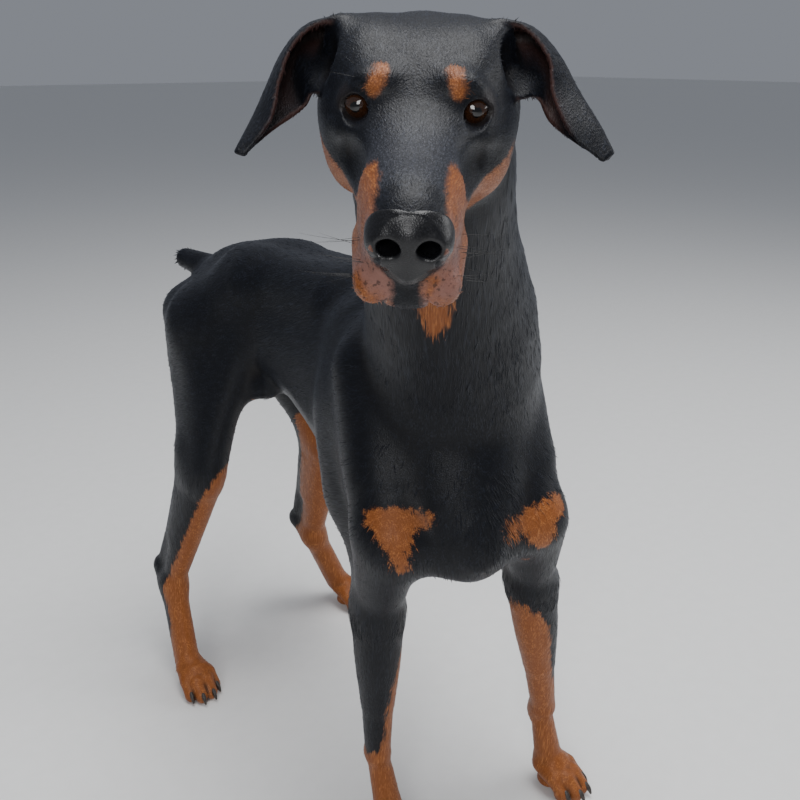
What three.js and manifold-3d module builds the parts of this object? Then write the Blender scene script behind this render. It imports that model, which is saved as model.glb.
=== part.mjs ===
// A doberman pinscher, life size, standing with its head turned towards the viewer.
// Millimetres, +Z up. The dog faces -Y and its left side is +X.
// The flesh is one smooth field of muscles and bones. Each sub-part is that field skinned over its own
// stretch of the body, then cut clear of its neighbours.
import * as THREE from "three";
import { mergeVertices } from "three/addons/utils/BufferGeometryUtils.js";
import Module from "manifold-3d";

// Driving dimensions
const gap = 0.3; // clear space between neighbours
const earThick = 4.4;
const pawHeight = 50; // where the paws are parted from the legs
const bendRadius = 1087; // the trunk bends towards its own right
const bendMiddle = { x: 22, y: 5 };

// Small helpers
const v3 = (x, y, z) => [x, y, z];
const add = (a, b) => [a[0] + b[0], a[1] + b[1], a[2] + b[2]];
const sub = (a, b) => [a[0] - b[0], a[1] - b[1], a[2] - b[2]];
const mul = (a, k) => [a[0] * k, a[1] * k, a[2] * k];
const dot = (a, b) => a[0] * b[0] + a[1] * b[1] + a[2] * b[2];
const cross = (a, b) => [a[1] * b[2] - a[2] * b[1], a[2] * b[0] - a[0] * b[2], a[0] * b[1] - a[1] * b[0]];
const len = (a) => Math.hypot(a[0], a[1], a[2]);
const unit = (a) => mul(a, 1 / len(a));
const mix = (a, b, t) => a + (b - a) * t;
const mix3 = (a, b, t) => [mix(a[0], b[0], t), mix(a[1], b[1], t), mix(a[2], b[2], t)];
const clamp = (x, a, b) => Math.min(b, Math.max(a, x));
const rad = (d) => (d * Math.PI) / 180;

// A smooth curve through table rows [place, value, value, ...], read at a place.
function along(table, place) {
  const n = table.length;
  let i = 0;
  while (i < n - 2 && place > table[i + 1][0]) i++;
  const a = table[i], b = table[i + 1];
  const before = table[Math.max(0, i - 1)], after = table[Math.min(n - 1, i + 2)];
  const h = b[0] - a[0], t = clamp((place - a[0]) / h, 0, 1);
  const t2 = t * t, t3 = t2 * t;
  const out = [];
  for (let k = 1; k < a.length; k++) {
    const sa = ((b[k] - before[k]) / (b[0] - before[0])) * h;
    const sb = ((after[k] - a[k]) / (after[0] - a[0])) * h;
    out.push((2 * t3 - 3 * t2 + 1) * a[k] + (t3 - 2 * t2 + t) * sa + (3 * t2 - 2 * t3) * b[k] + (t3 - t2) * sb);
  }
  return out;
}

// The straight trunk is bent about an upright line on its right
function bend([x, y, z]) {
  const turn = (y - bendMiddle.y) / bendRadius, r = bendRadius + x;
  return [bendMiddle.x - bendRadius + r * Math.cos(turn), bendMiddle.y + r * Math.sin(turn), z];
}
function unbend([x, y, z]) {
  const dx = x - bendMiddle.x + bendRadius, dy = y - bendMiddle.y;
  return [Math.hypot(dx, dy) - bendRadius, bendMiddle.y + bendRadius * Math.atan2(dy, dx), z];
}

// Shapes: each is { f: signed distance, c: centre, r: reach }
// A round limb from a to b. swell adds to the radius half way, and wide stretches the section along side.
function limb(a, b, ra, rb, { swell = 0, side = null, wide = 1 } = {}) {
  const d = sub(b, a), L2 = dot(d, d), L = Math.sqrt(L2), u = mul(d, 1 / L);
  let s = side ? sub(side, mul(u, dot(side, u))) : [1, 0, 0];
  s = unit(s);
  const most = Math.max(ra, rb) + Math.abs(swell);
  return {
    c: mix3(a, b, 0.5), r: L / 2 + most * Math.max(1, wide),
    f(p) {
      const q = sub(p, a), h = dot(q, u), t = clamp(h / L, 0, 1);
      const beyond = h - t * L;
      const w = dot(q, s);
      const perp2 = Math.max(0, dot(q, q) - h * h) - w * w + (w / wide) * (w / wide);
      return Math.sqrt(beyond * beyond + Math.max(0, perp2)) - (ra + (rb - ra) * t + swell * Math.sin(Math.PI * t));
    },
  };
}
// A ball stretched to half sizes r, with its own axes.
function ball(c, r, axes = [[1, 0, 0], [0, 1, 0], [0, 0, 1]]) {
  return {
    c, r: Math.max(...r),
    f(p) {
      const q = sub(p, c);
      const a = dot(q, axes[0]), b = dot(q, axes[1]), e = dot(q, axes[2]);
      const k0 = Math.hypot(a / r[0], b / r[1], e / r[2]);
      const k1 = Math.hypot(a / (r[0] * r[0]), b / (r[1] * r[1]), e / (r[2] * r[2]));
      return k1 > 1e-9 ? (k0 * (k0 - 1)) / k1 : -Math.min(...r);
    },
  };
}
// Axes turned by degrees about z, then x, then y.
function turned(z = 0, x = 0, y = 0) {
  const m = new THREE.Matrix4().makeRotationFromEuler(new THREE.Euler(rad(x), rad(y), rad(z), "ZXY"));
  const e = m.elements;
  return [[e[0], e[1], e[2]], [e[4], e[5], e[6]], [e[8], e[9], e[10]]];
}
// A body lofted along y. Rows: [y, top, bottom, half width, height of the widest point, upper and lower squareness].
function loft(rows) {
  const first = rows[0][0], last = rows[rows.length - 1][0];
  return {
    c: [0, (first + last) / 2, (rows[0][1] + rows[0][2]) / 2], r: 1e6,
    f(p) {
      const y = clamp(p[1], first, last);
      const [top, bottom, half, mid, nTop, nBottom] = along(rows, y);
      const up = p[2] > mid, h = up ? top - mid : mid - bottom, n = up ? nTop : nBottom;
      const u = Math.abs(p[0]) / half, v = Math.abs(p[2] - mid) / h;
      const rho = Math.pow(Math.pow(u, n) + Math.pow(v, n), 1 / n);
      if (rho < 1e-6) return -Math.min(half, h);
      const gx = Math.pow(u / rho, n - 1) / half, gz = Math.pow(v / rho, n - 1) / h;
      const side = (rho - 1) / Math.hypot(gx, gz);
      const beyond = Math.abs(p[1] - y);
      return beyond > 0 ? Math.hypot(Math.max(side, 0), beyond) : side;
    },
  };
}
// Soft union and soft cut over a width k.
const join = (a, b, k) => {
  const h = Math.max(k - Math.abs(a - b), 0) / k;
  return Math.min(a, b) - (h * h * k) / 4;
};
const carve = (a, b, k) => -join(-a, b, k);

// Flesh is a list of [shape, k] joined in order; a negative k carves with width |k|.
function fleshOf(list) {
  return (p) => {
    let d = 1e9;
    for (const [s, k] of list) {
      const far = len(sub(p, s.c)) - s.r;
      if (k >= 0) {
        if (far > d + k) continue;
        d = d > 1e8 ? s.f(p) : join(d, s.f(p), k);
      } else {
        if (far > -k + 30) continue;
        d = carve(d, s.f(p), -k);
      }
    }
    return d;
  };
}
// The shapes that can matter within r of c, where the flesh's distance is d.
const nearby = (list, c, r, d) =>
  list.filter(([s, k]) => len(sub(c, s.c)) - s.r < (k >= 0 ? d + 2 * r + k : r + 30 - k) + 4);

// Trunk, in the straight frame
const trunkRows = [
  [-372, 500, 446, 22, 474, 2, 2],
  [-356, 545, 424, 46, 476, 2, 2],
  [-328, 592, 414, 66, 484, 2.1, 2],
  [-285, 640, 404, 80, 496, 2.1, 1.9],
  [-235, 672, 386, 88, 506, 2, 1.8],
  [-180, 684, 372, 93, 512, 1.9, 1.55],
  [-110, 683, 390, 90, 520, 1.9, 1.35],
  [-40, 676, 427, 83, 530, 2, 1.35],
  [40, 668, 464, 74, 546, 2.1, 1.55],
  [110, 669, 477, 70, 560, 2.2, 2],
  [170, 669, 484, 66, 570, 2.2, 2.4],
  [230, 655, 494, 58, 572, 2.1, 2.4],
  [275, 630, 508, 48, 572, 2, 2],
  [306, 602, 536, 32, 570, 2, 2],
];
const both = (make) => [make(-1), make(1)];
const straight = (shape) => ({ ...shape, c: bend(shape.c), r: shape.r * 1.12 + 5, f: (p) => shape.f(unbend(p)) });
const flat = (wide) => ({ side: [1, 0, 0], wide });

const trunk = [
  [straight(loft(trunkRows)), 0],
  // spine's muscles beside the back line
  ...both((s) => [straight(limb([s * 30, -60, 641], [s * 34, 150, 638], 26, 26)), 30]),
  // shoulder blades and the muscles on them
  ...both((s) => [straight(limb([s * 40, -182, 642], [s * 72, -300, 480], 28, 40, flat(0.75))), 34]),
  ...both((s) => [straight(limb([s * 50, -150, 625], [s * 78, -215, 480], 28, 44, flat(0.7))), 34]),
  // breast muscles and the breastbone's tip
  ...both((s) => [straight(ball([s * 42, -318, 462], [40, 37, 34], turned(s * -14, 0, 0))), 22]),
  [straight(ball([0, -350, 468], [20, 24, 30])), 24],
  // from the neck down to the shoulder's point
  ...both((s) => [straight(limb([s * 68, -242, 612], [s * 76, -290, 520], 43, 37, flat(0.9))), 30]),
  // haunches
  ...both((s) => [straight(limb([s * 44, 120, 622], [s * 58, 225, 560], 34, 52)), 36]),
  // folds of the flanks
  ...both((s) => [straight(limb([s * 66, 136, 484], [s * 58, 70, 498], 19, 14, flat(0.6))), 22]),
  ...both((s) => [straight(limb([s * 40, 290, 560], [s * 48, 240, 520], 34, 46)), 30]),
];

// Legs, joint by joint. toeTurn is the paw's own way on the floor, turned from -Y towards +X.
const foreJoints = {
  right: {
    shoulder: bend([-76, -318, 466]), elbow: v3(-80, -244, 354), wrist: v3(-62, -214, 132),
    foot: v3(-54, -232, 0), toeTurn: -18,
  },
  left: {
    shoulder: bend([76, -318, 466]), elbow: v3(90, -298, 354), wrist: v3(154, -268, 132),
    foot: v3(174, -277, 0), toeTurn: 16,
  },
};
const hindJoints = {
  right: {
    hip: bend([-62, 205, 540]), knee: v3(-100, 138, 376), hock: v3(-128, 248, 150),
    heel: v3(-132, 276, 168), foot: v3(-132, 176, 0), toeTurn: 3,
  },
  left: {
    hip: bend([62, 205, 540]), knee: v3(100, 137, 376), hock: v3(122, 257, 150),
    heel: v3(111, 288, 168), foot: v3(180, 234, 0), toeTurn: 20,
  },
};
const heading = (deg) => [Math.sin(rad(deg)), -Math.cos(rad(deg)), 0];
const beyond = (p, way, k, up = 0) => [p[0] + way[0] * k, p[1] + way[1] * k, p[2] + way[2] * k + up];

function foreleg(name) {
  const j = foreJoints[name], s = name === "right" ? -1 : 1;
  const side = [s, 0, 0], back = mul(heading(-16), -1), front = heading(j.toeTurn);
  const upperBack = bend([s * 66, -195, 545]);
  return [
    [limb(j.shoulder, j.elbow, 41, 25, { side, wide: 0.88 }), 22], // upper arm
    [limb(upperBack, beyond(j.elbow, back, 12), 44, 20, { side, wide: 0.68, swell: 6 }), 34], // triceps
    [limb(j.elbow, mix3(j.elbow, j.wrist, 0.6), 26, 16, { side, wide: 0.92, swell: 5 }), 22], // forearm
    [limb(j.elbow, j.wrist, 26, 16.5, { side, wide: 0.97 }), 14],
    [ball(beyond(j.elbow, back, 28, 16), [13, 15, 18]), 14], // point of the elbow
    [ball(j.wrist, [13.5, 16, 18]), 6],
    [limb(beyond(j.wrist, front, -4), beyond(j.foot, front, -9, 36), 14, 19), 8], // pastern
    [ball(beyond(j.wrist, front, -13, -14), [8, 8, 12]), 10], // pad behind the wrist
  ];
}
function hindleg(name) {
  const j = hindJoints[name], s = name === "right" ? -1 : 1;
  const side = [s, 0, 0], front = heading(12), toe = heading(j.toeTurn);
  const seat = bend([s * 42, 281, 547]), haunch = bend([s * 56, 130, 580]);
  const shinTop = beyond(j.knee, front, -16, -26);
  const calf = add(beyond(j.knee, front, -37, 10), [-s * 6, 0, 0]);
  const hock = beyond(j.hock, front, 6), shinLow = mix3(shinTop, j.hock, 0.5);
  return [
    [limb(j.hip, j.knee, 62, 33, { side, wide: 0.72 }), 34], // thigh
    [limb(haunch, beyond(j.knee, front, 0, 14), 32, 28, { side, wide: 0.66, swell: 4 }), 30],
    [limb(seat, calf, 34, 28, { side, wide: 0.74, swell: 5 }), 34],
    [limb(shinTop, beyond(j.hock, front, 4), 32, 19, { side, wide: 0.86 }), 26], // shin
    [limb(calf, mix3(shinTop, j.heel, 0.55), 27, 16, { side, wide: 0.84 }), 24], // calf
    [limb(mix3(calf, j.heel, 0.35), j.heel, 14, 9, { side, wide: 0.7 }), 14], // tendon of the heel
    [limb(beyond(shinLow, front, -12), mix3(j.hock, j.heel, 0.6), 12, 11, { side, wide: 0.62 }), 16],
    [ball(j.heel, [11, 13, 15]), 10],
    [ball(hock, [19, 26, 25]), 14],
    [limb(hock, beyond(j.foot, toe, -22, 36), 22, 22, { side, wide: 0.82 }), 16], // rear pastern
    [limb(mix3(j.heel, j.hock, 0.3), beyond(j.foot, toe, -34, 36), 11, 12), 12],
  ];
}

// Paws
// Toes from the inner to the outer: sideways place, how far forward the tip is, and how much it fans out.
const toes = [
  { x: -21, tip: 29, fan: -10 },
  { x: -8.4, tip: 42, fan: -3 },
  { x: 8.4, tip: 42, fan: 3 },
  { x: 21, tip: 29, fan: 10 },
];
const pawSizes = { fore: 1, hind: 0.98 };
function pawFrame(j) {
  const f = heading(j.toeTurn), l = [-f[1], f[0], 0];
  return (x, y, z) => [j.foot[0] + f[0] * y + l[0] * x, j.foot[1] + f[1] * y + l[1] * x, z];
}
const toeWay = (t) => [Math.sin(rad(t.fan)), Math.cos(rad(t.fan))];
function pawFlesh(j, size) {
  const at = pawFrame(j);
  const out = [[limb(at(0, -10, 36), at(0, 0, 31), 17 * size, 23 * size, { side: [0, 0, 1], wide: 0.85 }), 14]];
  out.push([ball(at(0, -4, 10), [20 * size, 18 * size, 12]), 8]); // heel pad
  for (const t of toes) {
    const [dx, dy] = toeWay(t);
    const on = (k, z) => at((t.x + dx * k) * size, (t.tip + dy * k) * size, z);
    out.push([limb(at(t.x * 0.62 * size, -14, 33), on(-20, 27), 10, 11.5 * size), 7]);
    out.push([limb(on(-20, 27), on(-5, 13), 11.5 * size, 10 * size), 3]);
    out.push([ball(on(-7, 8), [9 * size, 11 * size, 9]), 3]);
  }
  return out;
}

// Head, in its own frame: eyes' middle at the origin, nose towards -Y
const headPlace = v3(-199, -468, 870);
const headTurn = { yaw: -37.5, pitch: -13, roll: 2.5 };
const headMatrix = new THREE.Matrix4().makeRotationFromEuler(
  new THREE.Euler(rad(-headTurn.pitch), rad(headTurn.roll), rad(headTurn.yaw), "ZXY"),
);
const hm = headMatrix.elements;
const headAxes = [[hm[0], hm[1], hm[2]], [hm[4], hm[5], hm[6]], [hm[8], hm[9], hm[10]]];
const toHead = (p) => {
  const q = sub(p, headPlace);
  return [dot(q, headAxes[0]), dot(q, headAxes[1]), dot(q, headAxes[2])];
};
const fromHead = (p) => p.reduce((sum, k, i) => add(sum, mul(headAxes[i], k)), headPlace);
const onHead = (shape) => ({ ...shape, c: fromHead(shape.c), f: (p) => shape.f(toHead(p)) });

const headRows = [
  [-110, -20, -56, 15, -38, 2, 2],
  [-102, -13, -67, 22, -42, 2.1, 2.1],
  [-88, -8, -74, 27, -44, 2.3, 2.2],
  [-62, -5, -76, 31, -42, 2.4, 2.3],
  [-36, 0, -78, 34, -36, 2.3, 2.1],
  [-15, 9, -79, 41, -25, 2.2, 2],
  [0, 20, -80, 48, -17, 2.2, 1.9],
  [18, 31, -82, 55, -13, 2.1, 1.8],
  [45, 39, -82, 60, -12, 2, 1.8],
  [75, 39, -79, 57, -13, 2, 1.9],
  [102, 30, -72, 48, -17, 2, 2],
  [126, 11, -62, 36, -24, 2, 2],
];
const eyeball = { x: 32.5, y: 7.5, z: 0, r: 12, turn: 16, rise: 3 };
const eyeAt = (s) => [s * eyeball.x, eyeball.y, eyeball.z];
const gaze = (s) => {
  const t = rad(eyeball.turn), u = rad(eyeball.rise);
  return [s * Math.sin(t) * Math.cos(u), -Math.cos(t) * Math.cos(u), Math.sin(u)];
};
const cornerOfEye = (s, outward, up) => add(mul(unit(cross([0, 0, 1], gaze(s))), s * outward), [0, 0, up]);
const lids = (s) => {
  const g = gaze(s), c = eyeAt(s);
  const inner = add(beyond(c, g, 12.6), cornerOfEye(s, -7.8, -1.4));
  const outer = add(beyond(c, g, 12.2), cornerOfEye(s, 8.4, 0.6));
  return [
    [onHead(ball(c, [14.6, 14.6, 14.6])), 7],
    [onHead(limb(beyond(c, g, 14), beyond(c, g, 24), 6.6, 9, flat(1.16))), -1.2],
    [onHead(limb(inner, outer, 2.2, 2.3)), -1.2],
  ];
};
const headShapes = [
  [onHead(loft(headRows)), 24],
  ...both((s) => [onHead(ball([s * 25, 3, 16], [14, 12, 8], turned(s * -20, 0, 0))), 14]), // brows
  ...both((s) => [onHead(limb([s * 38, -2, -19], [s * 55 + 1, 62, -11], 9, 9)), 16]), // cheek bones
  ...both((s) => [onHead(ball([s * 42 + 2, 46, -35], [19, 33, 31])), 18]), // jaw muscles
  ...both((s) => [onHead(ball([s * 34, 58, 14], [22, 42, 25])), 18]), // temples
  ...both((s) => [onHead(ball([s * 49, 58, 23], [13, 19, 16])), 12]), // roots of the ears
  ...both((s) => [onHead(limb([s * 18, -93, -68], [s * 21.5, -44, -66], 13, 14)), 10]), // flews
  [onHead(limb([0, -90, -71], [0, -20, -68], 13.5, 22)), 12], // lower jaw
  ...both((s) => [onHead(ball([s * 38, -20, -27], [5, 17, 8], turned(s * -14, 0, 0))), -16]), // hollow under the eye
  ...lids(-1),
  ...lids(1),
  // nose pad with nostrils and the groove under it
  [onHead(ball([0, -101, -35], [22, 16, 18.5])), 8],
  [onHead(limb([0, -108.5, -33], [0, -105, -55], 8, 7)), 6],
  ...both((s) => [onHead(ball([s * 14, -106, -40], [8.5, 10, 11.5])), 6]),
  ...both((s) => [onHead(limb([s * 14, -126, -40], [s * 8, -104, -37], 4.2, 3.6, flat(1.3))), -2.5]),
  ...both((s) => [onHead(limb([s * 16, -124, -42], [s * 24, -104, -47], 2.4, 1.8)), -2]),
  [onHead(limb([0, -122, -44], [0, -114, -64], 1.6, 1.6)), -2],
  // line of the mouth
  ...both((s) => [onHead(limb([s * 1.5, -110, -68], [s * 13, -100, -79], 1.8, 1.8)), -2]),
  ...both((s) => [onHead(limb([s * 13, -100, -79], [s * 26, -64, -80], 1.8, 1.8)), -2]),
  ...both((s) => [onHead(limb([s * 26, -64, -80], [s * 42, -18, -62], 1.8, 1.3)), -2]),
  // cups of the ears
  ...both((s) => [onHead(ball([s * 62, 44, 21], [12, 14, 16])), -7]),
];

// Neck: limbs along a smooth curve from the shoulders to the back of the skull
const neckKnots = [bend([0, -222, 550]), bend([4, -272, 634]), v3(-80, -338, 760), fromHead([10, 92, -34])];
const neckDepth = [118, 106, 97, 89, 82, 76, 71, 68, 66, 64];
const neckBroad = [0.8, 0.87, 0.91, 0.94, 0.92, 0.89, 0.87, 0.87, 0.89];
function neckShapes() {
  const curve = new THREE.CatmullRomCurve3(neckKnots.map((p) => new THREE.Vector3(...p)));
  const list = [];
  for (let i = 0; i < neckBroad.length; i++) {
    const a = curve.getPoint(i / neckBroad.length).toArray();
    const b = curve.getPoint((i + 1) / neckBroad.length).toArray();
    const side = cross(sub(b, a), [0, 0, 1]);
    list.push([limb(a, b, neckDepth[i], neckDepth[i + 1], { side, wide: neckBroad[i] }), i ? 16 : 40]);
  }
  return list;
}

const tailRoot = bend([4, 280, 612]);
const tailTip = bend([4, 338, 620]);
const flesh = [
  ...trunk, ...neckShapes(), ...headShapes,
  ...foreleg("right"), ...foreleg("left"), ...hindleg("right"), ...hindleg("left"),
  ...pawFlesh(foreJoints.right, pawSizes.fore), ...pawFlesh(foreJoints.left, pawSizes.fore),
  ...pawFlesh(hindJoints.right, pawSizes.hind), ...pawFlesh(hindJoints.left, pawSizes.hind),
  [limb(tailRoot, tailTip, 22, 16), 14],
];

// Sub-parts
const wasm = await Module();
wasm.setup();
const { Manifold, Mesh } = wasm;
const more = 6; // how far a skin is grown past its cut

// Skin of the flesh inside a box, on a grid of step h, limited by clip(p) < 0. Cells are split in six tetrahedra.
const tetrahedra = [[0, 1, 3, 7], [0, 5, 1, 7], [0, 3, 2, 7], [0, 2, 6, 7], [0, 4, 5, 7], [0, 6, 4, 7]];
const oneIn = { 1: [0, 1, 2, 3], 2: [1, 0, 3, 2], 4: [2, 3, 0, 1], 8: [3, 2, 1, 0] };
const twoIn = {
  3: [0, 1, 2, 3], 5: [0, 2, 3, 1], 9: [0, 3, 1, 2], 6: [1, 2, 0, 3], 10: [1, 3, 2, 0], 12: [2, 3, 0, 1],
};
function skin(list, clip, lo, hi, h) {
  const n = lo.map((l, i) => Math.ceil((hi[i] - l) / h) + 1);
  const value = new Float64Array(n[0] * n[1] * n[2]);
  const index = (i, j, k) => (k * n[1] + j) * n[0] + i;
  const place = (i, j, k) => [lo[0] + i * h, lo[1] + j * h, lo[2] + k * h];
  const whole = fleshOf(list), block = 6, reach = block * h * 0.87;
  for (let k0 = 0; k0 < n[2]; k0 += block)
    for (let j0 = 0; j0 < n[1]; j0 += block)
      for (let i0 = 0; i0 < n[0]; i0 += block) {
        const c = place(i0 + block / 2, j0 + block / 2, k0 + block / 2);
        const d = Math.max(whole(c), clip(c));
        const far = Math.abs(d) > reach * 1.7 + 4;
        const local = far ? null : fleshOf(nearby(list, c, reach, whole(c)));
        for (let k = k0; k < Math.min(n[2], k0 + block); k++)
          for (let j = j0; j < Math.min(n[1], j0 + block); j++)
            for (let i = i0; i < Math.min(n[0], i0 + block); i++) {
              const edge = i === 0 || j === 0 || k === 0 || i === n[0] - 1 || j === n[1] - 1 || k === n[2] - 1;
              const p = place(i, j, k);
              let v = far ? d : Math.max(local(p), clip(p));
              if (edge) v = Math.max(v, 0.4 * h);
              value[index(i, j, k)] = Math.abs(v) < 1e-4 * h ? 1e-4 * h : v;
            }
      }
  const points = [], faces = [], seen = new Map();
  const corner = [];
  for (let c = 0; c < 8; c++) corner.push([c & 1, (c >> 1) & 1, c >> 2]);
  const step = corner.map(([i, j, k]) => index(i, j, k));
  for (let k = 0; k < n[2] - 1; k++)
    for (let j = 0; j < n[1] - 1; j++)
      for (let i = 0; i < n[0] - 1; i++) {
        const base = index(i, j, k);
        let inside = 0;
        for (const s of step) if (value[base + s] < 0) inside++;
        if (inside === 0 || inside === 8) continue;
        const cross = (a, b) => {
          const low = Math.min(a, b), high = Math.max(a, b), key = (base + step[low]) * 8 + (high ^ low);
          if (seen.has(key)) return seen.get(key);
          const va = value[base + step[low]], vb = value[base + step[high]];
          const t = clamp(va / (va - vb), 0.04, 0.96);
          points.push(
            lo[0] + (i + mix(corner[low][0], corner[high][0], t)) * h,
            lo[1] + (j + mix(corner[low][1], corner[high][1], t)) * h,
            lo[2] + (k + mix(corner[low][2], corner[high][2], t)) * h,
          );
          seen.set(key, points.length / 3 - 1);
          return points.length / 3 - 1;
        };
        for (const tet of tetrahedra) {
          let mask = 0;
          for (let c = 0; c < 4; c++) if (value[base + step[tet[c]]] < 0) mask |= 1 << c;
          if (mask === 0 || mask === 15) continue;
          if (twoIn[mask]) {
            const [a, b, c, d] = twoIn[mask].map((q) => tet[q]);
            const ac = cross(a, c), ad = cross(a, d), bd = cross(b, d), bc = cross(b, c);
            faces.push(ac, ad, bd, ac, bd, bc);
          } else {
            const out = !oneIn[mask], [a, b, c, d] = oneIn[out ? 15 ^ mask : mask].map((q) => tet[q]);
            const ab = cross(a, b), ac = cross(a, c), ad = cross(a, d);
            faces.push(ab, ...(out ? [ad, ac] : [ac, ad]));
          }
        }
      }
  return { points, faces };
}

// Fewer facets with the same form: the edge that costs least is closed up until only the wanted number is left.
function thin({ points, faces }, wanted) {
  const n = points.length / 3, q = new Float64Array(n * 10), around = [], stamp = new Int32Array(n);
  for (let i = 0; i < n; i++) around.push(new Set());
  const at = (v) => [points[3 * v], points[3 * v + 1], points[3 * v + 2]];
  const normal = (a, b, c) => cross(sub(b, a), sub(c, a));
  const tri = [];
  for (let f = 0; f < faces.length / 3; f++) {
    const v = [faces[3 * f], faces[3 * f + 1], faces[3 * f + 2]];
    tri.push(v);
    for (const i of v) around[i].add(f);
    const a = at(v[0]), m = normal(a, at(v[1]), at(v[2])), area = len(m);
    if (area < 1e-12) continue;
    const [x, y, z] = mul(m, 1 / area), w = -dot([x, y, z], a);
    const part = [x * x, x * y, x * z, x * w, y * y, y * z, y * w, z * z, z * w, w * w];
    for (const i of v) for (let k = 0; k < 10; k++) q[i * 10 + k] += part[k] * area;
  }
  const cost = (m, p) => {
    const [x, y, z] = p;
    const square = m[0] * x * x + m[4] * y * y + m[7] * z * z;
    const mixed = m[1] * x * y + m[2] * x * z + m[5] * y * z + m[3] * x + m[6] * y + m[8] * z;
    return square + 2 * mixed + m[9];
  };
  const heap = [];
  const push = (e) => {
    let i = heap.push(e) - 1;
    while (i > 0) {
      const up = (i - 1) >> 1;
      if (heap[up].cost <= e.cost) break;
      heap[i] = heap[up];
      i = up;
    }
    heap[i] = e;
  };
  const pop = () => {
    const first = heap[0], e = heap.pop();
    let i = 0;
    while (heap.length) {
      let c = 2 * i + 1;
      if (c >= heap.length) break;
      if (c + 1 < heap.length && heap[c + 1].cost < heap[c].cost) c++;
      if (heap[c].cost >= e.cost) break;
      heap[i] = heap[c];
      i = c;
    }
    if (heap.length) heap[i] = e;
    return first;
  };
  const offer = (a, b) => {
    const m = [];
    for (let k = 0; k < 10; k++) m.push(q[a * 10 + k] + q[b * 10 + k]);
    const pa = at(a), pb = at(b), mid = mix3(pa, pb, 0.5), long = dot(sub(pa, pb), sub(pa, pb));
    const e = 1e-3 * (m[0] + m[4] + m[7]); // holds the new point near the edge where the skin is flat
    const A = [m[0] + e, m[1], m[2], m[4] + e, m[5], m[7] + e];
    const r = [e * mid[0] - m[3], e * mid[1] - m[6], e * mid[2] - m[8]];
    const c0 = A[3] * A[5] - A[4] * A[4], c1 = A[2] * A[4] - A[1] * A[5], c2 = A[1] * A[4] - A[2] * A[3];
    const det = A[0] * c0 + A[1] * c1 + A[2] * c2;
    const d1 = A[0] * A[5] - A[2] * A[2], d2 = A[1] * A[2] - A[0] * A[4], d3 = A[0] * A[3] - A[1] * A[1];
    let p = mid;
    if (Math.abs(det) > 1e-12 * (m[0] + m[4] + m[7]) ** 3)
      p = [dot([c0, c1, c2], r) / det, dot([c1, d1, d2], r) / det, dot([c2, d2, d3], r) / det];
    if (dot(sub(p, mid), sub(p, mid)) > long) p = mid;
    push({ cost: cost(m, p) + 1e-6 * long * (m[0] + m[4] + m[7]), a, b, sa: stamp[a], sb: stamp[b], p });
  };
  const beside = (v) => {
    const out = new Set();
    for (const f of around[v]) for (const w of tri[f]) if (w !== v) out.add(w);
    return out;
  };
  for (let v = 0; v < n; v++) for (const w of beside(v)) if (v < w) offer(v, w);
  let left = tri.length;
  while (left > wanted && heap.length) {
    const { a, b, sa, sb, p } = pop();
    if (stamp[a] !== sa || stamp[b] !== sb || !around[a].size || !around[b].size) continue;
    const na = beside(a), nb = beside(b);
    let shared = 0;
    for (const w of na) if (nb.has(w)) shared++;
    if (shared !== 2) continue;
    let fine = true;
    for (const v of [a, b]) {
      for (const f of around[v]) {
        if (tri[f].includes(a) && tri[f].includes(b)) continue;
        const was = tri[f].map(at), now = tri[f].map((w) => (w === v ? p : at(w)));
        const m0 = normal(...was), m1 = normal(...now);
        const edge = sub(now[0], now[1]);
        if (dot(m0, m1) < 0.3 * len(m0) * len(m1) || len(m1) < 1e-3 * dot(edge, edge)) fine = false;
      }
      if (!fine) break;
    }
    if (!fine) continue;
    for (const f of [...around[b]]) {
      if (tri[f].includes(a)) {
        for (const w of tri[f]) around[w].delete(f);
        left--;
      } else {
        tri[f][tri[f].indexOf(b)] = a;
        around[a].add(f);
      }
    }
    around[b] = new Set();
    for (let k = 0; k < 3; k++) points[3 * a + k] = p[k];
    for (let k = 0; k < 10; k++) q[a * 10 + k] += q[b * 10 + k];
    stamp[a]++;
    stamp[b] = -1;
    for (const w of beside(a)) offer(Math.min(a, w), Math.max(a, w));
  }
  const names = new Map(), outPoints = [], outFaces = [];
  for (let f = 0; f < tri.length; f++) {
    if (!around[tri[f][0]].has(f)) continue;
    for (const v of tri[f]) {
      if (!names.has(v)) {
        names.set(v, outPoints.length / 3);
        outPoints.push(...at(v));
      }
      outFaces.push(names.get(v));
    }
  }
  return { points: outPoints, faces: outFaces };
}

// Solids
function solid({ points, faces }) {
  let volume = 0;
  const at = (v) => [points[3 * v], points[3 * v + 1], points[3 * v + 2]];
  for (let f = 0; f < faces.length; f += 3) volume += dot(at(faces[f]), cross(at(faces[f + 1]), at(faces[f + 2])));
  const ordered = volume > 0 ? faces : [...faces].reverse();
  const vertProperties = Float32Array.from(points), triVerts = Uint32Array.from(ordered);
  return new Manifold(new Mesh({ numProp: 3, vertProperties, triVerts }));
}
function solidOf(geometry) {
  for (const name of Object.keys(geometry.attributes)) if (name !== "position") geometry.deleteAttribute(name);
  const merged = mergeVertices(geometry, 1e-4);
  return solid({ points: [...merged.attributes.position.array], faces: [...merged.index.array] });
}
const largest = (m) => m.decompose().sort((a, b) => b.volume() - a.volume())[0];
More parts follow.
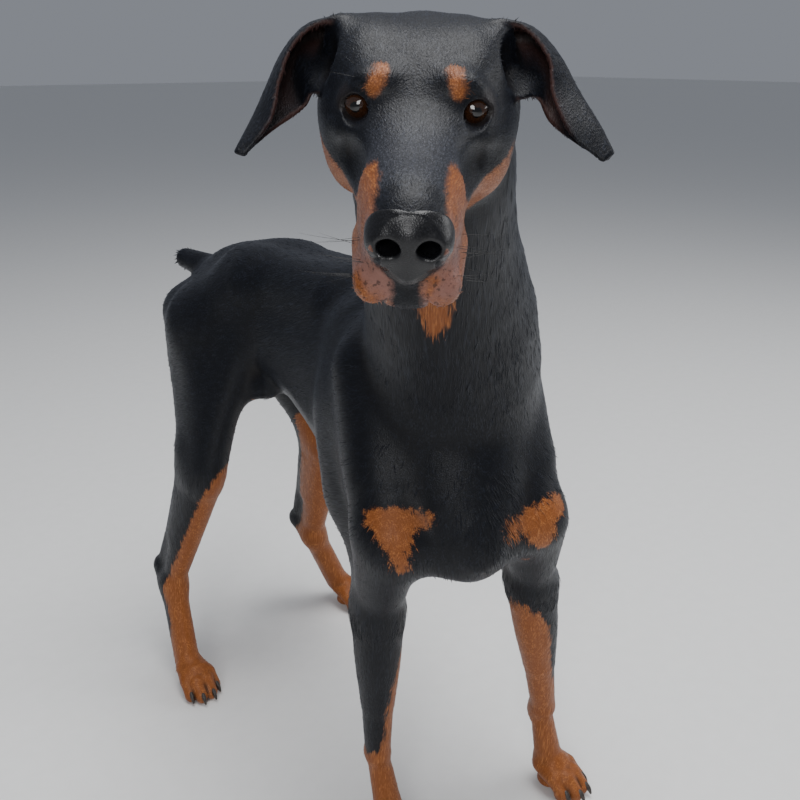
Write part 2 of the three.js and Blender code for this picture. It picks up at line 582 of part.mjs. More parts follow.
// A space bounded by planes { n, p }, each pushed outwards by grow; n points inwards.
const space = (planes, grow = 0) =>
  planes.reduce((m, { n, p }) => m.trimByPlane(n, dot(n, p) - grow), solidOf(new THREE.BoxGeometry(3000, 3000, 3000)));
const depthIn = (planes, p) => Math.min(...planes.map((q) => dot(q.n, sub(p, q.p))));
const turnAt = (y) => (y - bendMiddle.y) / bendRadius;
const sideways = (y) => [Math.cos(turnAt(y)), Math.sin(turnAt(y)), 0];
const backwards = (y) => [-Math.sin(turnAt(y)), Math.cos(turnAt(y)), 0];
const turnToHead = (a) => sub(fromHead(a), headPlace);

// Cuts between neighbours; each plane's n points into the sub-part it is named for.
const neckCut = { n: unit(add(mul(backwards(-280), -0.682), [0, 0, 0.7315])), p: bend([0, -196, 684]) };
const headCut = { n: unit(turnToHead([0, -0.832, 0.555])), p: fromHead([0, 120, 10]) };
const foreCuts = (s) => [
  { n: unit(add(mul(sideways(-260), 0.85 * s), [0, 0, -0.526])), p: bend([s * 45, -260, 352]) },
  { n: mul(backwards(-120), -1), p: bend([0, -120, 400]) },
];
const hindCuts = (s) => [
  { n: unit(add(mul(sideways(200), 0.911 * s), [0, 0, -0.413])), p: bend([s * 34, 200, 430]) },
  { n: backwards(95), p: bend([0, 95, 450]) },
];
const pawCut = { n: [0, 0, -1], p: [0, 0, pawHeight] };
const tailWay = unit(sub(tailTip, tailRoot));
const tailCut = { n: tailWay, p: add(tailRoot, mul(tailWay, 16)) };
const noseCuts = [
  { n: unit([0, -0.985, 0.17]), p: [0, -104, -16] },
  { n: unit([0, -0.25, 0.97]), p: [0, -112, -54] },
  { n: unit([0.9, -0.4, 0.15]), p: [-20.5, -108, -36] },
  { n: unit([-0.9, -0.4, 0.15]), p: [20.5, -108, -36] },
].map(({ n, p }) => ({ n: unit(turnToHead(n)), p: fromHead(p) }));
const flip = ({ n, p }) => ({ n: mul(n, -1), p });

// Flesh of one sub-part: inside its planes and outside those of its neighbours.
function part(lo, hi, h, count, inside, outside = []) {
  const clip = (p) => {
    let d = -1e3;
    if (inside.length) d = Math.max(d, -depthIn(inside, p) - more);
    for (const planes of outside) d = Math.max(d, depthIn(planes, p) - more);
    return d;
  };
  let m = solid(thin(skin(flesh, clip, lo, hi, h), count));
  if (inside.length) m = m.intersect(space(inside, -gap / 2));
  for (const planes of outside) m = m.subtract(space(planes, gap / 2));
  return largest(m);
}

// Ears: rows of [place along the ear, front margin, crease at the back, rear margin] in the head's frame.
const earRows = {
  right: [
    [-0.06, -44, 56, 34.5, -52, 77.3, 20, -55, 39.9, -2.1],
    [0, -49, 53.2, 37.4, -59, 75.4, 22, -61, 36, -1.9],
    [0.22, -66, 52, 33.3, -75, 69.3, 20, -67, 39.8, -4.1],
    [0.45, -79.5, 43.3, 21.3, -87, 58.5, 6, -72, 43.4, -13.3],
    [0.68, -86, 29.3, 3.2, -96, 43.6, -9.3, -80, 39.1, -19.1],
    [0.86, -90, 16.2, -15.4, -103.5, 27.9, -22, -93, 28.7, -26.5],
    [1, -105, 6.2, -34.4, -110, 8.3, -33.5, -107, 10.2, -35.6],
  ],
  left: [
    [-0.06, 44, 58.1, 35.4, 52, 79.3, 21, 56, 40, -0.1],
    [0, 50, 56.3, 39.2, 60, 77.5, 24, 63, 37, -0.9],
    [0.22, 66.5, 57.1, 35.4, 76, 73.5, 24, 72.5, 43, -0.3],
    [0.45, 81, 47.2, 20.8, 89.5, 59, 15, 79, 45.8, -4.4],
    [0.68, 85, 33.2, 1.6, 101, 43.2, 1.2, 87, 41.2, -16.2],
    [0.86, 96, 16.8, -15, 113, 25.3, -12.5, 103, 26.7, -24],
    [1, 116, 7, -28, 121.5, 12, -24.6, 118.5, 10.8, -28.6],
  ],
};
function ear(side, grow) {
  const rows = earRows[side], start = rows[0][0], nt = 12, ns = 8, e = 1e-3;
  const at = (t, v) => {
    const r = along(rows, t), w = [(1 - v) * (1 - 2 * v), 4 * v * (1 - v), v * (2 * v - 1)];
    return [0, 1, 2].map((k) => r[k] * w[0] + r[3 + k] * w[1] + r[6 + k] * w[2]);
  };
  const points = [], faces = [];
  const name = (layer, i, j) => layer * (nt + 1) * (ns + 1) + i * (ns + 1) + j;
  for (const layer of [0, 1])
    for (let i = 0; i <= nt; i++)
      for (let j = 0; j <= ns; j++) {
        const t = mix(start, 1, i / nt), v = j / ns;
        const du = unit(sub(at(Math.min(t + e, 1), v), at(Math.max(t - e, start), v)));
        const dv = unit(sub(at(t, Math.min(v + e, 1)), at(t, Math.max(v - e, 0))));
        const rim = Math.pow(Math.abs(2 * v - 1), 4);
        const half = (earThick / 2) * (1 - 0.15 * rim) * (1 - 0.08 * t) + grow;
        const past = (k, last) => (k === 0 ? -grow : k === last ? grow : 0);
        const ends = add(mul(du, past(i, nt)), mul(dv, past(j, ns)));
        points.push(...fromHead(add(add(at(t, v), ends), mul(unit(cross(du, dv)), layer ? half : -half))));
      }
  const quad = (a, b, c, d) => faces.push(a, b, c, a, c, d);
  for (let i = 0; i < nt; i++)
    for (let j = 0; j < ns; j++) {
      quad(name(0, i, j), name(0, i, j + 1), name(0, i + 1, j + 1), name(0, i + 1, j));
      quad(name(1, i, j), name(1, i + 1, j), name(1, i + 1, j + 1), name(1, i, j + 1));
    }
  for (let i = 0; i < nt; i++) {
    quad(name(0, i, 0), name(0, i + 1, 0), name(1, i + 1, 0), name(1, i, 0));
    quad(name(0, i, ns), name(1, i, ns), name(1, i + 1, ns), name(0, i + 1, ns));
  }
  for (let j = 0; j < ns; j++) {
    quad(name(0, 0, j), name(1, 0, j), name(1, 0, j + 1), name(0, 0, j + 1));
    quad(name(0, nt, j), name(0, nt, j + 1), name(1, nt, j + 1), name(1, nt, j));
  }
  return solid({ points, faces });
}

// A bent horn: rings round the stations [point, radius], closed at both ends.
function horn(stations, sides, grow) {
  const points = [], faces = [], n = stations.length;
  for (let i = 0; i < n; i++) {
    const a = stations[Math.max(0, i - 1)][0], b = stations[Math.min(n - 1, i + 1)][0];
    const u = unit(sub(b, a)), s = unit(cross(u, [0, 0, 1])), w = cross(s, u);
    const push = i === 0 ? mul(u, -grow) : i === n - 1 ? mul(u, grow) : [0, 0, 0];
    for (let j = 0; j < sides; j++) {
      const t = (2 * Math.PI * j) / sides, r = stations[i][1] + grow;
      points.push(...add(add(stations[i][0], push), add(mul(s, r * Math.cos(t)), mul(w, r * Math.sin(t)))));
    }
  }
  for (let i = 0; i < n - 1; i++)
    for (let j = 0; j < sides; j++) {
      const a = i * sides + j, b = i * sides + ((j + 1) % sides);
      faces.push(a, b, b + sides, a, b + sides, a + sides);
    }
  for (let j = 1; j < sides - 1; j++) {
    faces.push(0, j + 1, j);
    const last = (n - 1) * sides;
    faces.push(last, last + j, last + j + 1);
  }
  return solid({ points, faces });
}
function claw(j, size, t, grow) {
  const at = pawFrame(j), [dx, dy] = toeWay(t);
  const on = (k, z) => at((t.x + dx * k) * size, (t.tip + dy * k) * size, z);
  const stations = [[on(-5, 17), 3.9], [on(0, 16.6), 3.9], [on(5, 12.5), 3.2], [on(8.4, 6), 1.5]];
  return horn(stations, 6, grow);
}

const coat = new THREE.Color(0x17171a), rust = new THREE.Color(0x8a4a24);
const looks = {
  coat: { color: coat, roughness: 0.55 },
  legs: { color: coat, roughness: 0.55 },
  paws: { color: rust, roughness: 0.7 },
  nose: { color: new THREE.Color(0x0b0b0d), roughness: 0.35 },
  eyes: { color: new THREE.Color(0x2a140a), roughness: 0.08 },
  claws: { color: new THREE.Color(0x14100d), roughness: 0.4 },
};
const made = [];
const keep = (name, look, m) => made.push({ name, look, m });

// Trunk, neck, tail
keep("torso", "coat", part([-175, -410, 330], [165, 345, 700], 9.5, 2600,
  [flip(neckCut), flip(tailCut)], [foreCuts(-1), foreCuts(1), hindCuts(-1), hindCuts(1)]));
keep("neck", "coat", part([-260, -530, 480], [90, -170, 930], 8, 680, [neckCut, flip(headCut)]));
keep("tail", "coat", part([-70, 270, 570], [40, 400, 660], 4, 120, [tailCut]));

// Head with its eyes, nose pad and ears
let head = part([-360, -640, 760], [-60, -340, 950], 2.8, 3500, [headCut], [noseCuts]);
for (const [side, s] of [["right", -1], ["left", 1]]) {
  const eye = (r) => solidOf(new THREE.IcosahedronGeometry(r, 3)).translate(fromHead(eyeAt(s)));
  head = head.subtract(eye(eyeball.r + gap));
  keep(`eye_${side}`, "eyes", eye(eyeball.r));
  head = head.subtract(ear(side, gap));
  keep(`ear_${side}`, "coat", ear(side, 0));
}
keep("head", "coat", largest(head));
keep("nose", "nose", part([-310, -610, 790], [-220, -520, 870], 1.6, 620, noseCuts));

// Legs, paws, claws
const legSpace = { fore: { y: [-400, -110], count: 520 }, hind: { y: [60, 330], count: 660 } };
for (const [end, joints, cuts] of [["fore", foreJoints, foreCuts], ["hind", hindJoints, hindCuts]]) {
  const size = pawSizes[end], { y, count } = legSpace[end];
  for (const [side, s] of [["right", -1], ["left", 1]]) {
    const j = joints[side], f = j.foot;
    const x = s > 0 ? [20, 230] : [-230, 0];
    const planes = [...cuts(s), flip(pawCut)];
    keep(`${end}leg_${side}`, "legs", part([x[0], y[0], 40], [x[1], y[1], 620], 6, count, planes));
    const floor = { n: [0, 0, 1], p: [0, 0, gap / 2] };
    let paw = part([f[0] - 80, f[1] - 90, -4], [f[0] + 80, f[1] + 80, 58], 2.8, 560, [pawCut, floor]);
    toes.forEach((t, i) => {
      paw = paw.subtract(claw(j, size, t, gap));
      keep(`claw_${end}_${side}_${i + 1}`, "claws", claw(j, size, t, 0));
    });
    keep(`${end}paw_${side}`, "paws", largest(paw));
  }
}

// The whole stands on the floor with its middle over the origin
const box = { min: [1e9, 1e9, 1e9], max: [-1e9, -1e9, -1e9] };
for (const { m } of made) {
  const b = m.boundingBox();
  for (let k = 0; k < 3; k++) {
    box.min[k] = Math.min(box.min[k], b.min[k]);
    box.max[k] = Math.max(box.max[k], b.max[k]);
  }
}
const shift = [-(box.min[0] + box.max[0]) / 2, -(box.min[1] + box.max[1]) / 2, -box.min[2]];
const dog = new THREE.Group();
dog.name = "doberman_pinscher";
for (const { name, look, m } of made) {
  const { vertProperties, triVerts } = m.translate(shift).getMesh();
  const geometry = new THREE.BufferGeometry();
  geometry.setAttribute("position", new THREE.BufferAttribute(new Float32Array(vertProperties), 3));
  geometry.setIndex([...triVerts]);
  geometry.computeVertexNormals();
  const mesh = new THREE.Mesh(geometry, new THREE.MeshStandardMaterial({ ...looks[look], metalness: 0 }));
  mesh.name = name;
  dog.add(mesh);
}
export default dog;
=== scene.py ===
import bpy
import math
import numpy as np
from mathutils import Matrix, Vector
from mathutils.bvhtree import BVHTree


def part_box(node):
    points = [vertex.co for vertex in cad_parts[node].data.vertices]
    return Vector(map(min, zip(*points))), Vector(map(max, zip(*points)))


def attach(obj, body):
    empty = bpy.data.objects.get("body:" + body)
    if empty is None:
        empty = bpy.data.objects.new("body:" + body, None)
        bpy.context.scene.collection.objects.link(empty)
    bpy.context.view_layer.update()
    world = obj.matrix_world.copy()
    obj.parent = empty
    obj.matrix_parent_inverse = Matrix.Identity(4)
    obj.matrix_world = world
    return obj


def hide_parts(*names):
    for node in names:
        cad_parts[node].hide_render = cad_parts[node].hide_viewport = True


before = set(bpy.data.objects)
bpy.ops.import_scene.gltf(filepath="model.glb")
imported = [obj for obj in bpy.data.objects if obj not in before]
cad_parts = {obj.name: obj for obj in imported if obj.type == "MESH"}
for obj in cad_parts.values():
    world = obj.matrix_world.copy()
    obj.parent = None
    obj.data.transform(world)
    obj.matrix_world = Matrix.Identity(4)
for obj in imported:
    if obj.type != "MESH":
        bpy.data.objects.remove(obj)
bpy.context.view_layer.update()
print("frame loaded")


# Small helpers. The body's lengths are in millimetres until a mesh is made.
def vec(*p):
    return np.array(p, float)


def unit(v):
    return v / np.linalg.norm(v)


def mix(a, b, t):
    return a + (b - a) * t


def sideOf(way, other):  # a direction square to way
    return unit(np.cross(way, other if abs(way[2]) < 0.9 else [1, 0, 0]))


def linked(name, data):
    piece = bpy.data.objects.new(name, data)
    bpy.context.scene.collection.objects.link(piece)
    return piece


def heading(degrees):
    t = math.radians(degrees)  # from -Y towards +X
    return vec(math.sin(t), -math.cos(t), 0)


def turned(z=0, x=0, y=0):
    cz, sz, cx, sx, cy, sy = [f(math.radians(a)) for a in (z, x, y) for f in (math.cos, math.sin)]
    aboutZ = np.array([[cz, -sz, 0], [sz, cz, 0], [0, 0, 1]])
    aboutX = np.array([[1, 0, 0], [0, cx, -sx], [0, sx, cx]])
    aboutY = np.array([[cy, 0, sy], [0, 1, 0], [-sy, 0, cy]])
    return aboutZ @ aboutX @ aboutY


def along(table, place):
    rows = np.asarray(table, float)  # a smooth curve through the rows [place, value, value, ...]
    place = np.atleast_1d(np.asarray(place, float))
    last = len(rows) - 1
    i = np.searchsorted(rows[1:-1, 0], place)
    a, b = rows[i], rows[i + 1]
    before, after = rows[np.maximum(i - 1, 0)], rows[np.minimum(i + 2, last)]
    h = b[:, :1] - a[:, :1]
    t = np.clip((place[:, None] - a[:, :1]) / h, 0, 1)
    slopeA = (b - before) / (b[:, :1] - before[:, :1]) * h
    slopeB = (after - a) / (after[:, :1] - a[:, :1]) * h
    t2, t3 = t * t, t * t * t
    out = (2 * t3 - 3 * t2 + 1) * a + (t3 - 2 * t2 + t) * slopeA
    return (out + (3 * t2 - 2 * t3) * b + (t3 - t2) * slopeB)[:, 1:]


skinSize = {"bodyStep": 6.1, "headStep": 1.75, "pawStep": 2.5, "cover": 1.2, "earCover": 0.3, "pawTop": 66,
            "pawReach": 78, "joinGap": 1.2}
trunkBend = {"radius": 1087, "x": 22, "y": 5}  # the trunk bends towards the dog's right


def bend(p):
    p = np.asarray(p, float)
    turn = (p[..., 1] - trunkBend["y"]) / trunkBend["radius"]
    r = trunkBend["radius"] + p[..., 0]
    x = trunkBend["x"] - trunkBend["radius"] + r * np.cos(turn)
    return np.stack([x, trunkBend["y"] + r * np.sin(turn), p[..., 2]], -1)


def unbend(p):
    dx, dy = p[..., 0] - trunkBend["x"] + trunkBend["radius"], p[..., 1] - trunkBend["y"]
    y = trunkBend["y"] + trunkBend["radius"] * np.arctan2(dy, dx)
    return np.stack([np.hypot(dx, dy) - trunkBend["radius"], y, p[..., 2]], -1)


# Shapes that flesh is joined from: at(points) is the distance, inside below nought
class Shape:
    def __init__(self, centre, reach, at):
        self.centre, self.reach, self.at = np.asarray(centre, float), reach, at


def limb(a, b, ra, rb, swell=0, side=None, wide=1):
    a, b = np.asarray(a, float), np.asarray(b, float)
    length = np.linalg.norm(b - a)
    u = (b - a) / length
    s = vec(1, 0, 0)
    if side is not None:
        s = unit(side - u * (side @ u))

    def at(p):
        q = p - a
        h = q @ u
        t = np.clip(h / length, 0, 1)
        w = q @ s
        across = np.maximum(0, (q * q).sum(-1) - h * h) - w * w + (w / wide) ** 2
        radius = ra + (rb - ra) * t + swell * np.sin(np.pi * t)
        return np.sqrt((h - t * length) ** 2 + np.maximum(0, across)) - radius

    return Shape((a + b) / 2, length / 2 + (max(ra, rb) + abs(swell)) * max(1, wide), at)


def ball(c, r, axes=None):
    c, r = np.asarray(c, float), np.asarray(r, float)
    axes = np.eye(3) if axes is None else axes

    def at(p):
        q = (p - c) @ axes
        k0 = np.sqrt(((q / r) ** 2).sum(-1))
        k1 = np.sqrt(((q / (r * r)) ** 2).sum(-1)) + 1e-9
        return np.where(k0 < 1e-6, -r.min(), k0 * (k0 - 1) / k1)

    return Shape(c, r.max(), at)


def loft(rows):  # rows: y, top, bottom, half width, height of the widest point, upper and lower squareness
    first, last = rows[0][0], rows[-1][0]

    def at(p):
        y = np.clip(p[:, 1], first, last)
        top, bottom, half, mid, nTop, nBottom = along(rows, y).T
        up = p[:, 2] > mid
        h, n = np.where(up, top - mid, mid - bottom), np.where(up, nTop, nBottom)
        u, v = np.abs(p[:, 0]) / half, np.abs(p[:, 2] - mid) / h
        rho = np.maximum((u**n + v**n) ** (1 / n), 1e-6)
        slope = np.hypot((u / rho) ** (n - 1) / half, (v / rho) ** (n - 1) / h)
        side = (rho - 1) / slope
        beyond = np.abs(p[:, 1] - y)
        return np.where(beyond > 0, np.hypot(np.maximum(side, 0), beyond), side)

    return Shape((0, (first + last) / 2, 0), 1e6, at)


def pairs(rows):  # rows: softness, and one shape or what makes it on side s; -1 is the dog's right
    out = []
    for softness, shape in rows:
        made = [shape] if isinstance(shape, Shape) else [shape(-1), shape(1)]
        out += [(each, softness) for each in made]
    return out


def straight(shape):  # a shape of the straight trunk, bent with it
    return Shape(bend(shape.centre), shape.reach * 1.12 + 5, lambda p: shape.at(unbend(p)))


# Head's own frame: the middle of the eyes at the origin, nose towards -Y
headPlace = vec(-199, -468, 870)
headAxes = turned(-37.5, 13, 2.5)


def toHead(p):
    return (p - headPlace) @ headAxes


def fromHead(p):
    return headPlace + np.asarray(p, float) @ headAxes.T


def onHead(shape):
    return Shape(fromHead(shape.centre), shape.reach, lambda p: shape.at(toHead(p)))


# Flesh: a list of (shape, softness); a softness below nought carves
trunkRows = [
    [-372, 500, 446, 22, 474, 2, 2],
    [-356, 545, 424, 46, 476, 2, 2],
    [-328, 592, 414, 66, 484, 2.1, 2],
    [-285, 640, 404, 80, 496, 2.1, 1.9],
    [-235, 672, 386, 88, 506, 2, 1.8],
    [-180, 684, 372, 93, 512, 1.9, 1.55],
    [-110, 683, 390, 90, 520, 1.9, 1.35],
    [-40, 676, 427, 83, 530, 2, 1.35],
    [40, 668, 464, 74, 546, 2.1, 1.55],
    [110, 669, 477, 70, 560, 2.2, 2],
    [170, 669, 484, 66, 570, 2.2, 2.4],
    [230, 655, 494, 58, 572, 2.1, 2.4],
    [275, 630, 508, 48, 572, 2, 2],
    [306, 602, 536, 32, 570, 2, 2],
]
toLeft = vec(1, 0, 0)
trunk = [(straight(shape), softness) for shape, softness in pairs([
    (0, loft(trunkRows)),
    (30, lambda s: limb([s * 30, -60, 641], [s * 34, 150, 638], 26, 26)),  # along the spine
    # the shoulder blade in two parts
    (34, lambda s: limb([s * 40, -182, 642], [s * 72, -300, 480], 28, 40, side=toLeft, wide=0.75)),
    (34, lambda s: limb([s * 50, -150, 625], [s * 78, -215, 480], 28, 44, side=toLeft, wide=0.7)),
    (22, lambda s: ball([s * 42, -318, 462], [40, 37, 34], turned(s * -14))),  # breast
    (24, ball([0, -350, 468], [20, 24, 30])),  # tip of the breastbone
    # from neck to shoulder, then haunch, fold of the flank and buttock
    (30, lambda s: limb([s * 68, -242, 612], [s * 76, -290, 520], 43, 37, side=toLeft, wide=0.9)),
    (36, lambda s: limb([s * 44, 120, 622], [s * 58, 225, 560], 34, 52)),
    (22, lambda s: limb([s * 66, 136, 484], [s * 58, 70, 498], 19, 14, side=toLeft, wide=0.6)),
    (30, lambda s: limb([s * 40, 290, 560], [s * 48, 240, 520], 34, 46)),
])]

foreJoints = {
    "right": {"shoulder": bend([-76, -318, 466]), "elbow": vec(-80, -244, 354), "wrist": vec(-62, -214, 132),
              "foot": vec(-54, -232, 0), "toeTurn": -18},
    "left": {"shoulder": bend([76, -318, 466]), "elbow": vec(90, -298, 354), "wrist": vec(154, -268, 132),
             "foot": vec(174, -277, 0), "toeTurn": 16},
}
hindJoints = {
    "right": {"hip": bend([-62, 205, 540]), "knee": vec(-100, 138, 376), "hock": vec(-128, 248, 150),
              "heel": vec(-132, 276, 168), "foot": vec(-132, 176, 0), "toeTurn": 3},
    "left": {"hip": bend([62, 205, 540]), "knee": vec(100, 137, 376), "hock": vec(122, 257, 150),
             "heel": vec(111, 288, 168), "foot": vec(180, 234, 0), "toeTurn": 20},
}
legs = [("fore", foreJoints, 1), ("hind", hindJoints, 0.98)]  # and the size of the paws


def foreleg(side):
    j, s = foreJoints[side], -1 if side == "right" else 1
    out, back, front = vec(s, 0, 0), -heading(-16), heading(j["toeTurn"])
    elbow, wrist = j["elbow"], j["wrist"]
    upperBack = bend([s * 66, -195, 545])
    return [
        (limb(j["shoulder"], elbow, 41, 25, side=out, wide=0.88), 22),  # upper arm
        (limb(upperBack, elbow + back * 12, 44, 20, side=out, wide=0.68, swell=6), 34),  # triceps
        (limb(elbow, mix(elbow, wrist, 0.6), 26, 16, side=out, wide=0.92, swell=5), 22),  # forearm
        (limb(elbow, wrist, 26, 16.5, side=out, wide=0.97), 14),
        (ball(elbow + back * 28 + vec(0, 0, 16), [13, 15, 18]), 14),  # point of the elbow
        (ball(wrist, [13.5, 16, 18]), 6),
        (limb(wrist - front * 4, j["foot"] - front * 9 + vec(0, 0, 36), 14, 19), 8),  # pastern
        (ball(wrist - front * 13 - vec(0, 0, 14), [8, 8, 12]), 10),  # pad behind the wrist
    ]


def hindleg(side):
    j, s = hindJoints[side], -1 if side == "right" else 1
    out, front, toe = vec(s, 0, 0), heading(12), heading(j["toeTurn"])
    knee, hock, heel = j["knee"], j["hock"], j["heel"]
    seat, haunch = bend([s * 42, 281, 547]), bend([s * 56, 130, 580])
    shinTop = knee - front * 16 - vec(0, 0, 26)
    calf = knee - front * 37 + vec(-s * 6, 0, 10)
    return [
        (limb(j["hip"], knee, 62, 33, side=out, wide=0.72), 34),  # thigh
        (limb(haunch, knee + vec(0, 0, 14), 32, 28, side=out, wide=0.66, swell=4), 30),
        (limb(seat, calf, 34, 28, side=out, wide=0.74, swell=5), 34),
        (limb(shinTop, hock + front * 4, 32, 19, side=out, wide=0.86), 26),  # shin
        (limb(calf, mix(shinTop, heel, 0.55), 27, 16, side=out, wide=0.84), 24),  # calf
        (limb(mix(calf, heel, 0.35), heel, 14, 9, side=out, wide=0.7), 14),  # tendon of the heel
        (limb(mix(shinTop, hock, 0.5) - front * 12, mix(hock, heel, 0.6), 12, 11, side=out, wide=0.62), 16),
        (ball(heel, [11, 13, 15]), 10),
        (ball(hock + front * 6, [19, 26, 25]), 14),
        (limb(hock + front * 6, j["foot"] - toe * 22 + vec(0, 0, 36), 22, 22, side=out, wide=0.82), 16),
        (limb(mix(heel, hock, 0.3), j["foot"] - toe * 34 + vec(0, 0, 36), 11, 12), 12),
    ]


toes = [  # from the inner toe to the outer: place, how far forward its tip is, how much it fans out
    {"x": -21, "tip": 29, "fan": -10},
    {"x": -8.4, "tip": 42, "fan": -3},
    {"x": 8.4, "tip": 42, "fan": 3},
    {"x": 21, "tip": 29, "fan": 10},
]


def onPaw(j, x, y, z):
    f = heading(j["toeTurn"])
    return j["foot"] + f * y + vec(-f[1], f[0], 0) * x + vec(0, 0, z)


def toePoint(j, size, t, k, z):
    fan = math.radians(t["fan"])
    return onPaw(j, (t["x"] + math.sin(fan) * k) * size, (t["tip"] + math.cos(fan) * k) * size, z)


def paw(j, size):
    back, front = onPaw(j, 0, -10, 36), onPaw(j, 0, 0, 31)
    instep = limb(back, front, 17 * size, 23 * size, side=vec(0, 0, 1), wide=0.85)
    parts = [(instep, 14), (ball(onPaw(j, 0, -4, 10), [20 * size, 18 * size, 12]), 8)]  # and the heel pad
    for t in toes:
        knuckle = toePoint(j, size, t, -20, 27)
        parts += [(limb(onPaw(j, t["x"] * 0.62 * size, -14, 33), knuckle, 10, 11.5 * size), 7)]
        parts += [(limb(knuckle, toePoint(j, size, t, -5, 13), 11.5 * size, 10 * size), 3)]
        parts += [(ball(toePoint(j, size, t, -7, 8), [9 * size, 11 * size, 9]), 3)]
    return parts


headRows = [
    [-110, -20, -56, 15, -38, 2, 2],
    [-102, -13, -67, 22, -42, 2.1, 2.1],
    [-88, -8, -74, 27, -44, 2.3, 2.2],
    [-62, -5, -76, 31, -42, 2.4, 2.3],
    [-36, 0, -78, 34, -36, 2.3, 2.1],
    [-15, 9, -79, 41, -25, 2.2, 2],
    [0, 20, -80, 48, -17, 2.2, 1.9],
    [18, 31, -82, 55, -13, 2.1, 1.8],
    [45, 39, -82, 60, -12, 2, 1.8],
    [75, 39, -79, 57, -13, 2, 1.9],
    [102, 30, -72, 48, -17, 2, 2],
    [126, 11, -62, 36, -24, 2, 2],
]
eyeball = {"x": 32.5, "y": 7.5, "z": 0, "radius": 12, "turn": 16, "rise": 3}


def eyeAt(s):
    return vec(s * eyeball["x"], eyeball["y"], eyeball["z"])


def gaze(s):
    t, u = math.radians(eyeball["turn"]), math.radians(eyeball["rise"])
    return vec(s * math.sin(t) * math.cos(u), -math.cos(t) * math.cos(u), math.sin(u))


def cornerOfEye(s, outward, up):
    return s * outward * unit(np.cross([0, 0, 1], gaze(s))) + vec(0, 0, up)


def beforeEye(s, far):
    return eyeAt(s) + gaze(s) * far


def headList():
    out = pairs([
        (24, loft(headRows)),
        (14, lambda s: ball([s * 25, 3, 16], [14, 12, 8], turned(s * -20))),  # brows
        (16, lambda s: limb([s * 38, -2, -19], [s * 55 + 1, 62, -11], 9, 9)),  # cheek bones
        (18, lambda s: ball([s * 42 + 2, 46, -35], [19, 33, 31])),  # jaw muscles
        (18, lambda s: ball([s * 34, 58, 14], [22, 42, 25])),  # temples
        (12, lambda s: ball([s * 49, 58, 23], [13, 19, 16])),  # roots of the ears
        (10, lambda s: limb([s * 18, -93, -68], [s * 21.5, -44, -66], 13, 14)),  # flews
        (12, limb([0, -90, -71], [0, -20, -68], 13.5, 22)),  # lower jaw
        (-16, lambda s: ball([s * 38, -20, -27], [5, 17, 8], turned(s * -14))),  # hollow under the eye
        (7, lambda s: ball(eyeAt(s), [14.6, 14.6, 14.6])),  # lids
        (-1.2, lambda s: limb(beforeEye(s, 14), beforeEye(s, 24), 6.6, 9, side=toLeft, wide=1.16)),
        (-1.2, lambda s: limb(beforeEye(s, 12.6) + cornerOfEye(s, -7.8, -1.4),
                              beforeEye(s, 12.2) + cornerOfEye(s, 8.4, 0.6), 2.2, 2.3)),  # the lids' corners
        (8, ball([0, -101, -35], [22, 16, 18.5])),  # nose pad
        (6, limb([0, -108.5, -33], [0, -105, -55], 8, 7)),
        (6, lambda s: ball([s * 14, -106, -40], [8.5, 10, 11.5])),
        # nostril, its slit and the groove below the nose
        (-2.5, lambda s: limb([s * 14, -126, -40], [s * 8, -104, -37], 4.2, 3.6, side=toLeft, wide=1.3)),
        (-2, lambda s: limb([s * 16, -124, -42], [s * 24, -104, -47], 2.4, 1.8)),
        (-2, limb([0, -122, -44], [0, -114, -64], 1.6, 1.6)),
        (-2, lambda s: limb([s * 1.5, -110, -68], [s * 13, -100, -79], 1.8, 1.8)),  # line of the mouth
        (-2, lambda s: limb([s * 13, -100, -79], [s * 26, -64, -80], 1.8, 1.8)),
        (-2, lambda s: limb([s * 26, -64, -80], [s * 42, -18, -62], 1.8, 1.3)),
        (-7, lambda s: ball([s * 62, 44, 21], [12, 14, 16])),  # cup of the ear
    ])
    return [(onHead(shape), softness) for shape, softness in out]


def neckList():
    knots = [bend([0, -222, 550]), bend([4, -272, 634]), vec(-80, -338, 760), fromHead([10, 92, -34])]
    knots = [2 * knots[0] - knots[1], *knots, 2 * knots[-1] - knots[-2]]
    depth = [118, 106, 97, 89, 82, 76, 71, 68, 66, 64]
    broad = [0.8, 0.87, 0.91, 0.94, 0.92, 0.89, 0.87, 0.87, 0.89]
    last = len(broad)
    points = [centripetal(knots, i / last) for i in range(last + 1)]
    out = []
    for i in range(last):
        a, b = points[i], points[i + 1]
        part = limb(a, b, depth[i], depth[i + 1], side=np.cross(b - a, [0, 0, 1]), wide=broad[i])
        out.append((part, 16 if i else 40))
    return out


def centripetal(knots, t):
    spans = len(knots) - 3  # a smooth curve through all knots but the first and last
    i = min(int(t * spans), spans - 1)
    w = t * spans - i
    p0, p1, p2, p3 = knots[i:i + 4]
    d0, d1, d2 = [math.sqrt(np.linalg.norm(b - a)) for a, b in ((p0, p1), (p1, p2), (p2, p3))]
    m1 = ((p1 - p0) / d0 - (p2 - p0) / (d0 + d1) + (p2 - p1) / d1) * d1
    m2 = ((p2 - p1) / d1 - (p3 - p1) / (d1 + d2) + (p3 - p2) / d2) * d1
    c2, c3 = -3 * p1 + 3 * p2 - 2 * m1 - m2, 2 * p1 - 2 * p2 + m1 + m2
    return p1 + m1 * w + c2 * w * w + c3 * w**3


tailRoot, tailTip = bend([4, 280, 612]), bend([4, 338, 620])

